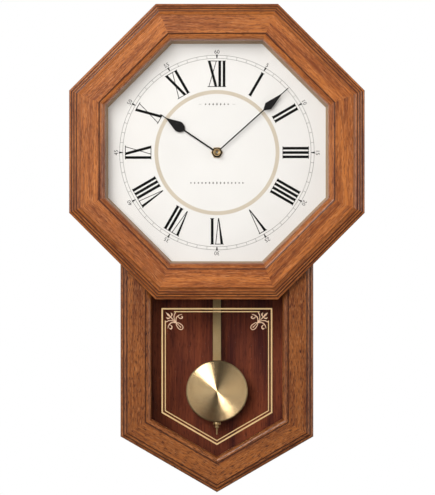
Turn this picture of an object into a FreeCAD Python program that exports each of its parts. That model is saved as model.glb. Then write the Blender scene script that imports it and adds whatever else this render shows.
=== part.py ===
import FreeCAD, Part
import Sketcher
import math
import os
import re

# Octagon-headed wall clock with a striking quartz movement and a swinging pendulum.
#
# The origin is the keyhole of the hanger plate, in the plane of the wall. +Z is up, the clock faces -Y
# and the wall lies on +Y. "Reach" is the distance out from the wall, so a point's Y is minus its reach.
# Most pieces are drawn about the hand arbor, which lies hang_drop below the keyhole.

SIZES = [
    # The case, seen from the front
    ("head_width", 400), ("door_overhang", 12), ("trunk_width", 263), ("trunk_overhang", 4),
    ("trunk_drop", 387.5), ("foot_angle", 30), ("hanger_inset", 36), ("board", 12),
    # The case, from the wall outwards
    ("back_thickness", 5), ("head_depth", 90), ("door_gap", 2),
    # The door moulding, an ogee of reeds outside, a flat, and a bead round the glass
    ("rail_width", 49.5), ("door_thickness", 26), ("door_edge", 11), ("reed_pitch", 3.5),
    ("reed_rise", 3), ("reed_radius", 3.4), ("slope_width", 6), ("slope_radius", 8),
    ("bead_width", 8.5), ("bead_drop", 11), ("bead_radius", 11), ("quirk", 1),
    # The trunk moulding
    ("stile_width", 42), ("frame_thickness", 18), ("frame_edge", 10), ("frame_reed_pitch", 4.5),
    ("frame_reed_rise", 3.5), ("frame_reed_radius", 4.4), ("frame_bead_width", 7.5),
    ("frame_bead_drop", 6), ("frame_bead_radius", 7), ("cross_rail_drop", 20),
    # Glass
    ("glass", 2.4), ("rebate_width", 6), ("rebate_depth", 8), ("glass_clearance", 0.4),
    ("glass_tuck", 4), ("beading", 5.5),
    # Dial
    ("dial_inset", 12), ("dial_plate", 0.8), ("dial_board", 5.2), ("dial_clearance", 0.5),
    ("sight_step", 2), ("surround_slope", 5), ("surround_width", 10.5), ("surround_height", 10),
    ("surround_edge", 0.8),
    ("fit_gap", 0.3),
    # Movement housing, its edges measured from the hand arbor
    ("movement_width", 112), ("movement_rise", 46), ("movement_fall", 82), ("movement_depth", 34),
    ("shell", 2), ("access_margin", 9), ("cell_radius", 13.1), ("cell_length", 50), ("cell_headroom", 4),
    ("cell_nub", 2), ("bay_margin", 1.5), ("contact", 0.8), ("speaker_radius", 21),
    ("speaker_depth", 14), ("speaker_slot", 3),
    ("speaker_edge", 2), ("speaker_cone", 1), ("magnet_depth", 5),
    ("circuit_width", 36), ("circuit_height", 52), ("circuit_thickness", 1.6), ("solder", 0.1),
    ("chip_width", 12), ("chip_height", 8), ("chip_rise", 2.6), ("parts_rise", 16),
    ("capacitor_radius", 4), ("capacitor_length", 9),
    ("crystal_width", 8), ("crystal_height", 3), ("crystal_rise", 2.2),
    ("coil_radius", 5), ("coil_length", 18), ("coil_core", 1.5), ("coil_flange", 1), ("coil_tip", 2),
    ("board_post", 4), ("post_radius", 2), ("post_inset", 4),
    # Motion work: the stub-toothed wheels that give the hour hand its twelfth turn
    ("gear_module", 0.5), ("cannon_teeth", 12), ("motion_teeth", 36), ("motion_leaves", 10),
    ("hour_teeth", 40), ("setting_teeth", 12), ("pressure_angle", 25), ("backlash", 0.06),
    ("addendum", 0.75), ("dedendum", 1.0), ("wheel_face", 1.5), ("wheel_step", 3.5),
    ("stud_radius", 1.0), ("running_clearance", 0.05), ("end_play", 0.5), ("wheel_gap", 1), ("boss_gap", 2),
    # The arbors nest: minute arbor, hour tube, threaded bush
    ("arbor_radius", 1.8), ("hour_tube_radius", 2.9), ("bush_radius", 4.5), ("bush_standout", 2.6),
    ("bush_nut_flats", 14), ("bush_nut_height", 2.2), ("tube_end", 0.4), ("arbor_end", 2.5),
    # Hands and their nut
    ("hour_hand_gap", 4), ("minute_hand_gap", 8), ("hand_thickness", 0.6),
    ("hour_hand_length", 93), ("hour_spade_start", 54), ("hour_spade_wide", 64), ("hour_neck", 83),
    ("hour_spade_width", 14.5), ("hour_arm_width", 2.2), ("hour_hub_radius", 6.7),
    ("minute_hand_length", 130.5), ("minute_spade_start", 86), ("minute_spade_wide", 94),
    ("minute_neck", 118), ("minute_spade_width", 11.5),
    ("minute_arm_width", 1.7), ("minute_hub_radius", 6.2), ("tip_width", 1.2), ("spade_radius", 10),
    ("hand_nut_radius", 5), ("hand_nut_height", 4.5), ("hand_nut_edge", 1.5), ("shown_minutes", 608),
    # Pendulum
    ("pivot_rise", 20), ("pivot_radius", 1.2), ("pendulum_gap", 5), ("strip_width", 11),
    ("strip_thickness", 0.8), ("bob_rise", 58.5), ("bob_radius", 43), ("bob_rim", 1.6),
    ("bob_crown", 5.2), ("bob_strap", 1.2), ("strap_bed", 0.5), ("strip_past_bob", 36), ("strip_top", 6),
    ("rating_radius", 1.5), ("rating_length", 24), ("rating_bed", 3),
    ("nut_radius", 5.2), ("nut_height", 7.6), ("nut_neck", 3.6), ("nut_step", 2.7),
    ("leader_width", 12), ("leader_length", 26), ("leader_top", 6), ("leader_thickness", 2.4),
    ("leader_play", 0.6), ("pivot_head", 1),
    ("hook_radius", 1.5), ("hook_inset", 8), ("hook_stand", 1.5),
    # Door hinges and catch
    ("knuckle_radius", 3), ("leaf", 1.2), ("leaf_width", 14), ("hinge_length", 40),
    ("hinge_offset", 50), ("hinge_pin_radius", 1.2), ("knuckle_gap", 0.3), ("middle_knuckle", 15),
    ("magnet_width", 11), ("magnet_height", 30), ("screw_radius", 1.3), ("screw_head", 2.6),
    ("screw_length", 9), ("screw_pitch", 24), ("screw_margin", 2),
    # Hanger
    ("keyhole_radius", 5), ("keyhole_slot", 2.5), ("keyhole_length", 11), ("plate_width", 30),
    ("plate_height", 50), ("plate_thickness", 1.5), ("nail_room", 11.5), ("hanger_block_depth", 14),
    ("head_margin", 1.5),
    # Controls on the back of the movement
    ("setting_knob_radius", 7), ("setting_knob_height", 5), ("setting_shaft", 2),
    ("volume_radius", 8), ("volume_height", 4), ("control_inset", 32), ("volume_rise", 52),
    ("volume_shaft", 2), ("volume_stem", 4), ("stem_bed", 1),
    ("switch_rise", 26), ("switch_travel", 4), ("switch_width", 5), ("switch_step", 13),
    ("thumb_rise", 1.8), ("switch_play", 0.2), ("switch_lip", 1), ("switch_foot", 1.2),
    # How far a cutter runs past the face it cuts
    ("past", 1),
]

# Places and sizes that follow from the sizes above
DERIVED = {
    "hang_drop": "(case_inside - hanger_inset)",
    "case_flat": "(head_width / 2 - door_overhang)",
    "case_inside": "(case_flat - board)",
    "door_rear": "(head_depth + door_gap)",
    "trunk_depth": "(head_depth - frame_thickness)",
    "trunk_glass_top": "(case_flat - glass_tuck)",
    "sight_flat": "(head_width / 2 - rail_width - sight_step)",
    "dial_flat": "(case_inside - dial_clearance)",
    "dial_reach": "(head_depth - dial_inset)",
    "dial_back": "(dial_reach - dial_plate)",
    "board_back": "(dial_back - dial_board)",
    "hour_hand_reach": "(dial_reach + hour_hand_gap)",
    "minute_hand_reach": "(dial_reach + minute_hand_gap)",
    "bush_front": "(dial_reach + bush_standout)",
    "shell_front": "(board_back - shell)",
    "movement_rear": "(board_back - movement_depth)",
    "cover_front": "(movement_rear + shell)",
    "cell_x": "(movement_width / 2 - shell - bay_margin - cell_radius)",
    "cell_reach": "((shell_front + cover_front) / 2)",
    "cell_height": "(movement_rise - shell - cell_headroom - cell_length / 2)",
    "speaker_x": "(speaker_radius + shell + bay_margin - movement_width / 2)",
    "speaker_z": "(speaker_radius + shell + bay_margin - movement_fall)",
    "circuit_x": "((movement_width - circuit_width) / 2 - shell - bay_margin)",
    "circuit_z": "(circuit_height / 2 + shell + bay_margin - movement_fall)",
    "control_x": "(movement_width / 2 - control_inset)",
    "volume_z": "(volume_rise - movement_fall)",
    "switch_z": "(switch_rise - movement_fall)",
    "hour_module": "(gear_module * (cannon_teeth + motion_teeth) / (motion_leaves + hour_teeth))",
    "motion_drop": "(gear_module * (cannon_teeth + motion_teeth) / 2)",
    "setting_drop": "(motion_drop + gear_module * (motion_teeth + setting_teeth) / 2)",
    "hour_wheel_reach": "(shell_front - wheel_gap - wheel_face)",
    "motion_wheel_reach": "(hour_wheel_reach - wheel_step)",
    "pivot_drop": "(movement_fall - pivot_rise)",
    "pendulum_reach": "(movement_rear - pendulum_gap)",
    "bob_drop": "(trunk_drop - bob_rise)",
    "bob_back": "(pendulum_reach + rating_radius + fit_gap)",
    "nut_top": "(bob_drop + bob_radius + fit_gap)",
    "hinge_x": "(case_flat + knuckle_radius + knuckle_gap)",
    "hinge_reach": "(door_rear - knuckle_radius - knuckle_gap)",
}
CELLS = {name: f"Sizes.{name}" for name, _ in SIZES}
OCTAGON = 22.5  # half the turn from one side of an octagon to the next, in degrees

doc = FreeCAD.newDocument("WallClock")
sheet = doc.addObject("Spreadsheet::Sheet", "Sizes")
for row, (name, size) in enumerate(SIZES, start=1):
    sheet.set(f"A{row}", name)
    sheet.set(f"B{row}", str(size))
    sheet.setAlias(f"B{row}", name)
doc.recompute()


# ---- Writing sizes as expressions ---------------------------------------------------------------

def bound(text):
    """The expression with derived names written out and each size name pointing at its cell."""
    def full(match):
        name = match.group()
        return bound(DERIVED[name]) if name in DERIVED else CELLS.get(name, name)

    return re.sub(r"[a-z_]+", full, str(text))


def number(text):
    """What an expression comes to now."""
    return float(sheet.evalExpression(bound(text)))


def bind(thing, prop, text):
    """Ties a property to the sheet."""
    thing.setExpression(prop, bound(text))


# ---- Outlines of the case, as expressions ---------------------------------------------------------

def octagon(flat):
    """The corners of an octagon with this distance from its centre to each flat."""
    side = f"({flat}) * tan({OCTAGON})"
    quarter = [(side, flat), (flat, side)]
    right = quarter + [(x, f"-({z})") for x, z in reversed(quarter)]
    return right + [(f"-({x})", z) for x, z in reversed(right)]


def trunk_corner(inset, side=1):
    """The trunk's lower corner, on a line drawn inset inside the face frame's outer edge."""
    across = f"{side} * (trunk_width / 2 - ({inset}))"
    return (across, f"-(trunk_drop - ({inset}) * tan(45 - foot_angle / 2))")


def trunk_tip(inset):
    """The lowest point of the same line, on the centre line."""
    return ("0", f"-(trunk_drop + trunk_width / 2 * tan(foot_angle)) + ({inset}) / cos(foot_angle)")


def shoulder(flat, inset, side=1):
    """Where a sloping head side, at this flat distance, meets the trunk line at this inset."""
    across = f"(trunk_width / 2 - ({inset}))"
    return (f"{side} * {across}", f"-(({flat}) * sqrt(2) - {across})")


# ---- Sketches -----------------------------------------------------------------------------------

def centre_of_arc(start, end, radius):
    """The centre of the shorter arc between two points. A positive radius bulges to the travel's right."""
    middle = (start + end) / 2
    chord = end - start
    left = FreeCAD.Vector(-chord.y, chord.x, 0).normalize()
    rise = math.sqrt(max(radius * radius - chord.Length ** 2 / 4, 0))
    return middle + left * math.copysign(rise, radius)


def pin_to(sketch, geometry, point, x, y):
    """Holds one sketch point at the place that two expressions give."""
    for kind, text, axis in (("DistanceX", x, -2), ("DistanceY", y, -1)):
        if text == "0":
            sketch.addConstraint(Sketcher.Constraint("PointOnObject", geometry, point, axis))
            continue
        index = sketch.addConstraint(Sketcher.Constraint(kind, -1, 1, geometry, point, number(text)))
        sketch.renameConstraint(index, f"{kind}{index}")
        bind(sketch, f"Constraints.{kind}{index}", text)


def draw_loop(sketch, loop):
    """Draws a closed loop. Each corner is (x, y), or (x, y, radius) when an arc leaves it for the next."""
    corners = [FreeCAD.Vector(number(c[0]), number(c[1]), 0) for c in loop]
    ends = []
    for i, corner in enumerate(loop):
        start, end = corners[i], corners[(i + 1) % len(loop)]
        if len(corner) == 2:
            edge = sketch.addGeometry(Part.LineSegment(start, end))
            ends.append((edge, 1, 2))
            continue
        radius = number(corner[2])
        centre = centre_of_arc(start, end, radius)
        first, last = (start, end) if radius > 0 else (end, start)
        turn = [math.atan2(p.y - centre.y, p.x - centre.x) for p in (first, last)]
        circle = Part.Circle(centre, FreeCAD.Vector(0, 0, 1), abs(radius))
        edge = sketch.addGeometry(Part.ArcOfCircle(circle, turn[0], turn[1]))
        index = sketch.addConstraint(Sketcher.Constraint("Radius", edge, abs(radius)))
        sketch.renameConstraint(index, f"Radius{index}")
        bind(sketch, f"Constraints.Radius{index}", f"abs({corner[2]})")
        ends.append((edge, 1, 2) if radius > 0 else (edge, 2, 1))
    for i, corner in enumerate(loop):
        edge, start, end = ends[i]
        following, next_start, _ = ends[(i + 1) % len(loop)]
        sketch.addConstraint(Sketcher.Constraint("Coincident", edge, end, following, next_start))
        pin_to(sketch, edge, start, corner[0], corner[1])


def draw_circle(sketch, x, y, radius):
    """Draws a circle at the place that two expressions give."""
    circle = Part.Circle(FreeCAD.Vector(number(x), number(y), 0), FreeCAD.Vector(0, 0, 1), number(radius))
    edge = sketch.addGeometry(circle)
    pin_to(sketch, edge, 3, x, y)
    index = sketch.addConstraint(Sketcher.Constraint("Radius", edge, number(radius)))
    sketch.renameConstraint(index, f"Radius{index}")
    bind(sketch, f"Constraints.Radius{index}", radius)


def sketch_on(body, role, shapes, offset="0"):
    """A sketch on one of the body's own origin planes, moved along its normal. A shape is a loop or a
    circle's (x, y, radius). On XZ_Plane x is across, y is up and the offset is a reach."""
    sketch = body.newObject("Sketcher::SketchObject", f"{body.Name}_outline")
    plane = next(o for o in body.Origin.OriginFeatures if o.Role == role)
    sketch.AttachmentSupport = [(plane, "")]
    sketch.MapMode = "FlatFace"
    bind(sketch, "AttachmentOffset.Base.z", offset)
    for shape in shapes:
        if isinstance(shape, tuple):
            draw_circle(sketch, *shape)
        else:
            draw_loop(sketch, shape)
    return sketch


# ---- Features -----------------------------------------------------------------------------------

NODES = []


def node(thing):
    """Puts a finished sub-part in the list that is written out, under its Label."""
    NODES.append(thing)
    return thing


def make(kind, name):
    """A new document object whose Label is its name."""
    thing = doc.addObject(kind, name)
    thing.Label = name
    return thing


def hang(thing, across="0", reach="0", up="0", turn="0"):
    """Places a piece by its distances from the hand arbor, turned clockwise as the clock's reader sees it."""
    thing.Placement = FreeCAD.Placement(FreeCAD.Vector(), FreeCAD.Rotation(FreeCAD.Vector(0, 1, 0), 1))
    bind(thing, "Placement.Rotation.Angle", turn)
    bind(thing, "Placement.Base.x", across)
    bind(thing, "Placement.Base.y", f"-({reach})")
    bind(thing, "Placement.Base.z", f"({up}) - hang_drop")
    return thing


def pad(body, shapes, reach, thickness, role="XZ_Plane"):
    """Adds a padded sketch. On XZ_Plane it stands at this reach and grows towards the front."""
    sketch = sketch_on(body, role, shapes, reach)
    feature = body.newObject("PartDesign::Pad", f"{body.Name}_pad")
    feature.Profile = sketch
    bind(feature, "Length", thickness)


def cut_through(body, shapes):
    """Cuts shapes drawn on XZ_Plane right through the body."""
    sketch = sketch_on(body, "XZ_Plane", shapes)
    feature = body.newObject("PartDesign::Pocket", f"{body.Name}_cut")
    feature.Profile = sketch
    feature.SideType = "Symmetric"
    feature.Type = "ThroughAll"


def pocket(body, shapes, reach, depth):
    """Cuts shapes to a depth, from this reach towards the front."""
    sketch = sketch_on(body, "XZ_Plane", shapes, reach)
    feature = body.newObject("PartDesign::Pocket", f"{body.Name}_pocket")
    feature.Profile = sketch
    feature.Reversed = True
    bind(feature, "Length", depth)


def plate(name, shapes, reach, thickness, **place):
    """A flat piece parallel to the wall, with its rear face at this reach."""
    body = make("PartDesign::Body", name)
    pad(body, shapes, reach, thickness)
    return hang(body, **place)


def turned(name, loop, role="YZ_Plane", axis="H_Axis", **place):
    """A piece from the lathe. On YZ_Plane with H_Axis it turns about Y, on XZ_Plane with V_Axis about Z."""
    body = make("PartDesign::Body", name)
    sketch = sketch_on(body, role, [loop])
    feature = body.newObject("PartDesign::Revolution", f"{body.Name}_turn")
    feature.Profile = sketch
    feature.ReferenceAxis = (sketch, [axis])
    feature.Angle = 360
    return hang(body, **place)


def moulding(name, section, outer, start, end, mitres, turn):
    """A moulded length with mitred ends, drawn along X with its outer edge at Z = outer, then turned.
    The section lists (inset, reach) corners, and a mitre is how much shorter the piece gets per inset."""
    body = make("PartDesign::Body", name)
    profile = [(f"-({reach})", f"({outer}) - ({inset})", *radius) for inset, reach, *radius in section]
    pad(body, [profile], start, f"({end}) - ({start})", "YZ_Plane")
    deep = "(2 * rail_width)"
    for at, mitre, way in ((start, mitres[0], 1), (end, mitres[1], -1)):
        waste = [
            (f"({at}) - {way} * past * ({mitre})", f"({outer}) + past"),
            (f"({at}) + {way} * {deep} * ({mitre})", f"({outer}) - {deep}"),
            (f"({at}) - {way} * {deep}", f"({outer}) - {deep}"),
            (f"({at}) - {way} * {deep}", f"({outer}) + past"),
        ]
        cut_through(body, [waste])
    return hang(body, turn=turn)


def block(name, across, reach, up, width, depth, height):
    """A box from its left, rear, lower corner."""
    box = make("Part::Box", name)
    bind(box, "Length", width)
    bind(box, "Width", depth)
    bind(box, "Height", height)
    return hang(box, across, f"({reach}) + ({depth})", up)


def rod(name, across, reach, up, radius, length):
    """A cylinder that runs forward from this reach."""
    cylinder = make("Part::Cylinder", name)
    bind(cylinder, "Radius", radius)
    bind(cylinder, "Height", length)
    hang(cylinder, across, reach, up)
    cylinder.setExpression("Placement.Rotation.Angle", None)
    cylinder.Placement = FreeCAD.Placement(FreeCAD.Vector(), FreeCAD.Rotation(FreeCAD.Vector(1, 0, 0), 90))
    return cylinder


def upright(name, across, reach, up, radius, length):
    """A cylinder that runs up from this height."""
    cylinder = make("Part::Cylinder", name)
    bind(cylinder, "Radius", radius)
    bind(cylinder, "Height", length)
    return hang(cylinder, across, reach, up)


def fuse(name, *pieces):
    """One solid made of overlapping pieces."""
    feature = make("Part::MultiFuse", name)
    feature.Shapes = list(pieces)
    return feature


def cut(name, base, *tools):
    """A piece with others taken out of it."""
    feature = make("Part::Cut", name)
    feature.Base = base
    feature.Tool = tools[0] if len(tools) == 1 else fuse(f"{name}_waste", *tools)
    return feature


def group(name, *pieces):
    """Separate solids that share one node."""
    feature = make("Part::Compound", name)
    feature.Links = list(pieces)
    return node(feature)


def rectangle(left, right, bottom, top):
    """A loop round a rectangle."""
    return [(left, bottom), (right, bottom), (right, top), (left, top)]


def middle_box(width, bottom, top):
    """A rectangle centred on the arbor's vertical."""
    return rectangle(f"-({width}) / 2", f"({width}) / 2", bottom, top)


def screw(name, across, reach, up, inwards=False):
    """A countersunk wood screw, its head flush at this place, driven forward or inwards from the right."""
    taper = "(screw_head - screw_radius)"
    loop = [("0", "0"), ("0", "screw_head"), (f"-{taper}", "screw_radius"),
            ("-screw_length", "screw_radius"), ("-screw_length", "0")]
    body = turned(name, loop[::-1], across=across, reach=reach, up=up)
    if inwards:
        sideways = FreeCAD.Rotation(FreeCAD.Vector(0, 0, 1), -90)
        body.setExpression("Placement.Rotation.Angle", None)
        body.Placement = FreeCAD.Placement(body.Placement.Base, sideways)
    return body


# ---- The case -----------------------------------------------------------------------------------

HINGES = (("upper", 1), ("lower", -1))
PLATE_MIDDLE = "hang_drop + keyhole_length / 2"
PLATE_OUTLINE = middle_box("plate_width", f"{PLATE_MIDDLE} - plate_height / 2",
                           f"{PLATE_MIDDLE} + plate_height / 2")
HEAD_ROOM = middle_box("2 * (keyhole_radius + head_margin)", "hang_drop - keyhole_radius - head_margin",
                       "hang_drop + keyhole_length + keyhole_radius + head_margin")
HALF_ROUND = 1.001  # a half circle is drawn this much larger, so that its centre stays on one side


def fixing_screws():
    """Every wood screw, as two lists: those in the case and those in the door."""
    case, door = [], []
    for end, side in HINGES:
        plate_screw = f"{PLATE_MIDDLE} + {side} * (plate_height / 2 - screw_head - screw_margin)"
        case.append(screw(f"hanger_screw_{end}", "0", "0", plate_screw))
        for way in (1, -1):
            height = f"{side} * hinge_offset + {way} * screw_pitch / 2"
            leaf_reach = "hinge_reach - (leaf_width + knuckle_radius) / 2"
            inner = "hinge_x - (leaf_width + knuckle_radius) / 2"
            place = f"hinge_screw_{end}_{way + 1}"
            case.append(screw(f"case_{place}", "case_flat + leaf", leaf_reach, height, inwards=True))
            door.append(screw(f"door_{place}", inner, "door_rear - leaf", height))
    return case, door


def case_boards(screws):
    """Mitred boards round the head and the trunk. A mirror-image pair shares a node."""
    outer, inner = octagon("case_flat"), octagon("case_inside")
    out, inside = "trunk_overhang", "(trunk_overhang + board)"

    def strip(first, second, depth, name):
        right, left = [[(f"{s} * ({x})", z) for x, z in (*first, *second[::-1])] for s in (1, -1)]
        return plate(f"{name}_right", [right], "0", depth), plate(f"{name}_left", [left], "0", depth)

    node(plate("case_top", [[outer[7], outer[0], inner[0], inner[7]]], "0", "head_depth"))
    group("case_upper_sides", *strip(outer[0:2], inner[0:2], "head_depth", "upper_side"))
    right, left = strip(outer[1:3], inner[1:3], "head_depth", "side")
    group("case_sides", cut("side_right_drilled", right, *screws), left)
    joint_out, joint_in = shoulder("case_flat", out), shoulder("case_inside", inside)
    group("case_shoulders", *strip((outer[2], joint_out), (inner[2], joint_in), "head_depth", "shoulder"))
    corner_out, corner_in = trunk_corner(out), trunk_corner(inside)
    group("trunk_sides", *strip((joint_out, corner_out), (joint_in, corner_in), "trunk_depth", "trunk_side"))
    ends = (corner_out, trunk_tip(out)), (corner_in, trunk_tip(inside))
    group("trunk_feet", *strip(*ends, "trunk_depth", "foot"))


def backboard():
    """The back, inside the boards, with the way in to the movement and the mortise for the hanger."""
    inside = "(trunk_overhang + board)"
    inner = octagon("case_inside")
    outline = [*inner[:3], shoulder("case_inside", inside), trunk_corner(inside), trunk_tip(inside),
               trunk_corner(inside, -1), shoulder("case_inside", inside, -1), *inner[5:]]
    body = plate("backboard", [outline[::-1]], "0", "back_thickness")
    access = middle_box("movement_width + 2 * access_margin",
                        "-(movement_fall + access_margin)", "movement_rise + access_margin")
    cut_through(body, [access, PLATE_OUTLINE])
    node(body)


def hanger(screws):
    """The keyhole plate, flush with the back, on the block that takes its screws. The block is hollowed to
    clear the wall screw's head."""
    body = plate("hanger_plate_blank", [PLATE_OUTLINE], "0", "plate_thickness")
    top = "(hang_drop + keyhole_length)"
    cut_through(body, [("0", "hang_drop", "keyhole_radius")])
    cut_through(body, [[("keyhole_slot", "hang_drop"), ("keyhole_slot", top, f"keyhole_slot * {HALF_ROUND}"),
                        ("-keyhole_slot", top), ("-keyhole_slot", "hang_drop")]])
    node(cut("hanger_plate", body, *screws))
    depth = "hanger_block_depth + back_thickness - plate_thickness"
    wood = plate("hanger_block_blank", [PLATE_OUTLINE], "plate_thickness", depth)
    pocket(wood, [HEAD_ROOM], "plate_thickness", "nail_room")
    node(cut("hanger_block", wood, *screws))


def dial_supports():
    """Blocks behind the dial board, and the rail across the trunk that carries its lower edge."""
    length = "(4 * board)"
    rear = "(board_back - board)"
    across, inner = f"-{length} / 2", "(case_inside - board)"
    group("dial_blocks",
          block("dial_block_top", across, rear, inner, length, "board", "board"),
          block("dial_block_right", inner, rear, across, "board", "board", length),
          block("dial_block_left", "-case_inside", rear, across, "board", "board", length))
    inside = "(trunk_width / 2 - trunk_overhang - board)"
    low = "(case_flat * sqrt(2) - trunk_width / 2 + stile_width + cross_rail_drop)"
    node(block("cross_rail", f"-{inside}", rear, f"-{low}", f"2 * {inside}", "board",
               f"{low} - (dial_flat - board)"))


def dial():
    """The printed plate on its board, and the sloping surround that frames it."""
    bush_hole = ("0", "0", "bush_radius + fit_gap")
    node(plate("dial_board", [octagon("dial_flat"), bush_hole], "board_back", "dial_board"))
    node(plate("dial_plate", [octagon("dial_flat"), bush_hole], "dial_back", "dial_plate"))
    front = "(dial_reach + surround_height)"
    section = [("0", "dial_reach"), ("0", front), ("surround_width - surround_slope", front),
               ("surround_width", "dial_reach + surround_edge"), ("surround_width", "dial_reach")]
    outer = "(sight_flat + surround_width)"
    group("dial_surround", *octagon_frame("surround_strip", section, outer))


def octagon_frame(name, section, flat):
    """Eight equal mitred lengths, clockwise from the top."""
    half = f"({flat}) * tan({OCTAGON})"
    mitres = (f"tan({OCTAGON})", f"tan({OCTAGON})")
    return [moulding(f"{name}_{i}", section, flat, f"-({half})", half, mitres, str(i * 2 * OCTAGON))
            for i in range(8)]


# ---- The face frame of the trunk ----------------------------------------------------------------

def trunk_frame():
    """Two stiles and two foot rails with a reeded outer edge and a bead round the glass."""
    front = "(trunk_depth + frame_thickness)"
    edge = "(trunk_depth + frame_edge)"
    seat = "(trunk_depth + rebate_depth)"
    section = [
        ("0", "trunk_depth"), ("0", edge, "frame_reed_radius"),
        ("frame_reed_pitch", f"{edge} + frame_reed_rise", "frame_reed_radius"),
        ("2 * frame_reed_pitch", f"{edge} + 2 * frame_reed_rise"), ("2 * frame_reed_pitch + quirk", front),
        ("stile_width - frame_bead_width", front),
        ("stile_width - frame_bead_width", f"{front} - quirk", "frame_bead_radius"),
        ("stile_width", f"{front} - frame_bead_drop"), ("stile_width", seat),
        ("stile_width - rebate_width", seat), ("stile_width - rebate_width", "trunk_depth"),
    ]
    half = "trunk_width / 2"
    top = f"(case_flat * sqrt(2) - {half})"
    corner, peak = "tan(45 - foot_angle / 2)", "tan(foot_angle)"
    group("trunk_stiles",
          moulding("stile_right", section, half, top, "trunk_drop", ("1", corner), "90"),
          moulding("stile_left", section, half, "-trunk_drop", f"-{top}", (corner, "1"), "270"))
    tip = f"(trunk_drop + {half} * tan(foot_angle))"
    low = f"({tip} * sin(foot_angle))"
    high = f"(trunk_drop * sin(foot_angle) - {half} * cos(foot_angle))"
    outer = f"({tip} * cos(foot_angle))"
    mitres = (corner, peak)
    right = moulding("foot_rail_right", section, outer, high, low, mitres, "180 - foot_angle")
    left = moulding("foot_rail_left", section, outer, f"-{low}", f"-{high}", mitres[::-1], "180 + foot_angle")
    group("foot_rails", right, left)


def trunk_window():
    """The trunk glass in its rebate, and the beading that holds it from behind."""
    def outline(inset, top):
        across = f"(trunk_width / 2 - ({inset}))"
        return [(across, f"-({top})"), (f"-{across}", f"-({top})"), trunk_corner(inset, -1),
                trunk_tip(inset), trunk_corner(inset, 1)]

    edge = "(stile_width - rebate_width)"
    glass_back = "(trunk_depth + rebate_depth - glass)"
    pane = outline(f"{edge} + glass_clearance", "trunk_glass_top")
    node(plate("trunk_glass", [pane], glass_back, "glass"))
    loops = [outline(edge, "trunk_glass_top"), outline(f"{edge} + beading", "trunk_glass_top + beading")]
    node(plate("trunk_beading", loops, "trunk_depth", f"{glass_back} - trunk_depth"))


# ---- The door -----------------------------------------------------------------------------------

def door_rails(screws):
    """Eight moulded rails, mitred at the corners of the octagon."""
    front = "(door_rear + door_thickness)"
    edge = "(door_rear + door_edge)"
    seat = "(door_rear + rebate_depth)"
    reeds = [(f"{i} * reed_pitch", f"{edge} + {i} * reed_rise", "reed_radius") for i in range(3)]
    section = [
        ("0", "door_rear"), *reeds, ("3 * reed_pitch", f"{edge} + 3 * reed_rise", "-slope_radius"),
        ("3 * reed_pitch + slope_width", front),
        ("rail_width - bead_width", front), ("rail_width - bead_width", f"{front} - quirk", "bead_radius"),
        ("rail_width", f"{front} - bead_drop"), ("rail_width", seat),
        ("rail_width - rebate_width", seat), ("rail_width - rebate_width", "door_rear"),
    ]
    places = ("top", "upper_right", "right", "lower_right", "bottom", "lower_left", "left", "upper_left")
    for place, rail in zip(places, octagon_frame("rail", section, "head_width / 2")):
        if place == "right":
            node(cut("door_rail_right", rail, *screws))
        else:
            rail.Label = f"door_rail_{place}"
            node(rail)


def door_window():
    """The dial glass in its rebate, and the beading behind it."""
    edge = "(head_width / 2 - rail_width + rebate_width)"
    glass_back = "(door_rear + rebate_depth - glass)"
    node(plate("door_glass", [octagon(f"{edge} - glass_clearance")], glass_back, "glass"))
    loops = [octagon(edge), octagon(f"{edge} - beading")]
    node(plate("door_beading", loops, "door_rear", f"{glass_back} - door_rear"))


def hinges(case_screws, door_screws):
    """Two butt hinges behind the right edge of the door: case leaves, door leaves and their pins."""
    def barrel(name, bottom, radius, length):
        return upright(name, "hinge_x", "hinge_reach", bottom, radius, length)

    case, door, pins = [], [], []
    for end, side in HINGES:
        bottom = f"({side} * hinge_offset - hinge_length / 2)"
        middle = f"({side} * hinge_offset - middle_knuckle / 2)"
        outer_length = "((hinge_length - middle_knuckle) / 2 - knuckle_gap)"
        upper = f"({side} * hinge_offset + hinge_length / 2 - {outer_length})"
        leaf = block(f"case_leaf_{end}", "case_flat", "hinge_reach - leaf_width", bottom,
                     "leaf", "leaf_width", "hinge_length")
        relief = block(f"case_leaf_relief_{end}", "case_flat", "hinge_reach - knuckle_radius - knuckle_gap",
                       f"{middle} - knuckle_gap", "2 * leaf", "2 * knuckle_radius",
                       "middle_knuckle + 2 * knuckle_gap")
        knuckles = [barrel(f"case_knuckle_{end}_{i}", at, "knuckle_radius", outer_length)
                    for i, at in enumerate((bottom, upper))]
        bore = barrel(f"case_bore_{end}", bottom, "hinge_pin_radius", "hinge_length")
        solid = fuse(f"case_hinge_{end}", cut(f"case_leaf_cut_{end}", leaf, relief), *knuckles)
        case.append(cut(f"case_hinge_bored_{end}", solid, bore, *case_screws))
        leaf = block(f"door_leaf_{end}", "hinge_x - leaf_width", "door_rear - leaf", bottom,
                     "leaf_width", "leaf", "hinge_length")
        reliefs = [block(f"door_leaf_relief_{end}_{i}", "hinge_x - knuckle_radius - knuckle_gap",
                         "door_rear - 2 * leaf", at, "2 * knuckle_radius", "3 * leaf",
                         f"{outer_length} + knuckle_gap")
                   for i, at in enumerate((bottom, f"{upper} - knuckle_gap"))]
        knuckle = barrel(f"door_knuckle_{end}", middle, "knuckle_radius", "middle_knuckle")
        bore = barrel(f"door_bore_{end}", bottom, "hinge_pin_radius + running_clearance", "hinge_length")
        solid = fuse(f"door_hinge_{end}", cut(f"door_leaf_cut_{end}", leaf, *reliefs), knuckle)
        door.append(cut(f"door_hinge_bored_{end}", solid, bore, *door_screws))
        pins.append(barrel(f"hinge_pin_{end}", bottom, "hinge_pin_radius", "hinge_length"))
    group("hinge_case_leaves", *case)
    group("hinge_door_leaves", *door)
    group("hinge_pins", *pins)


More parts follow.
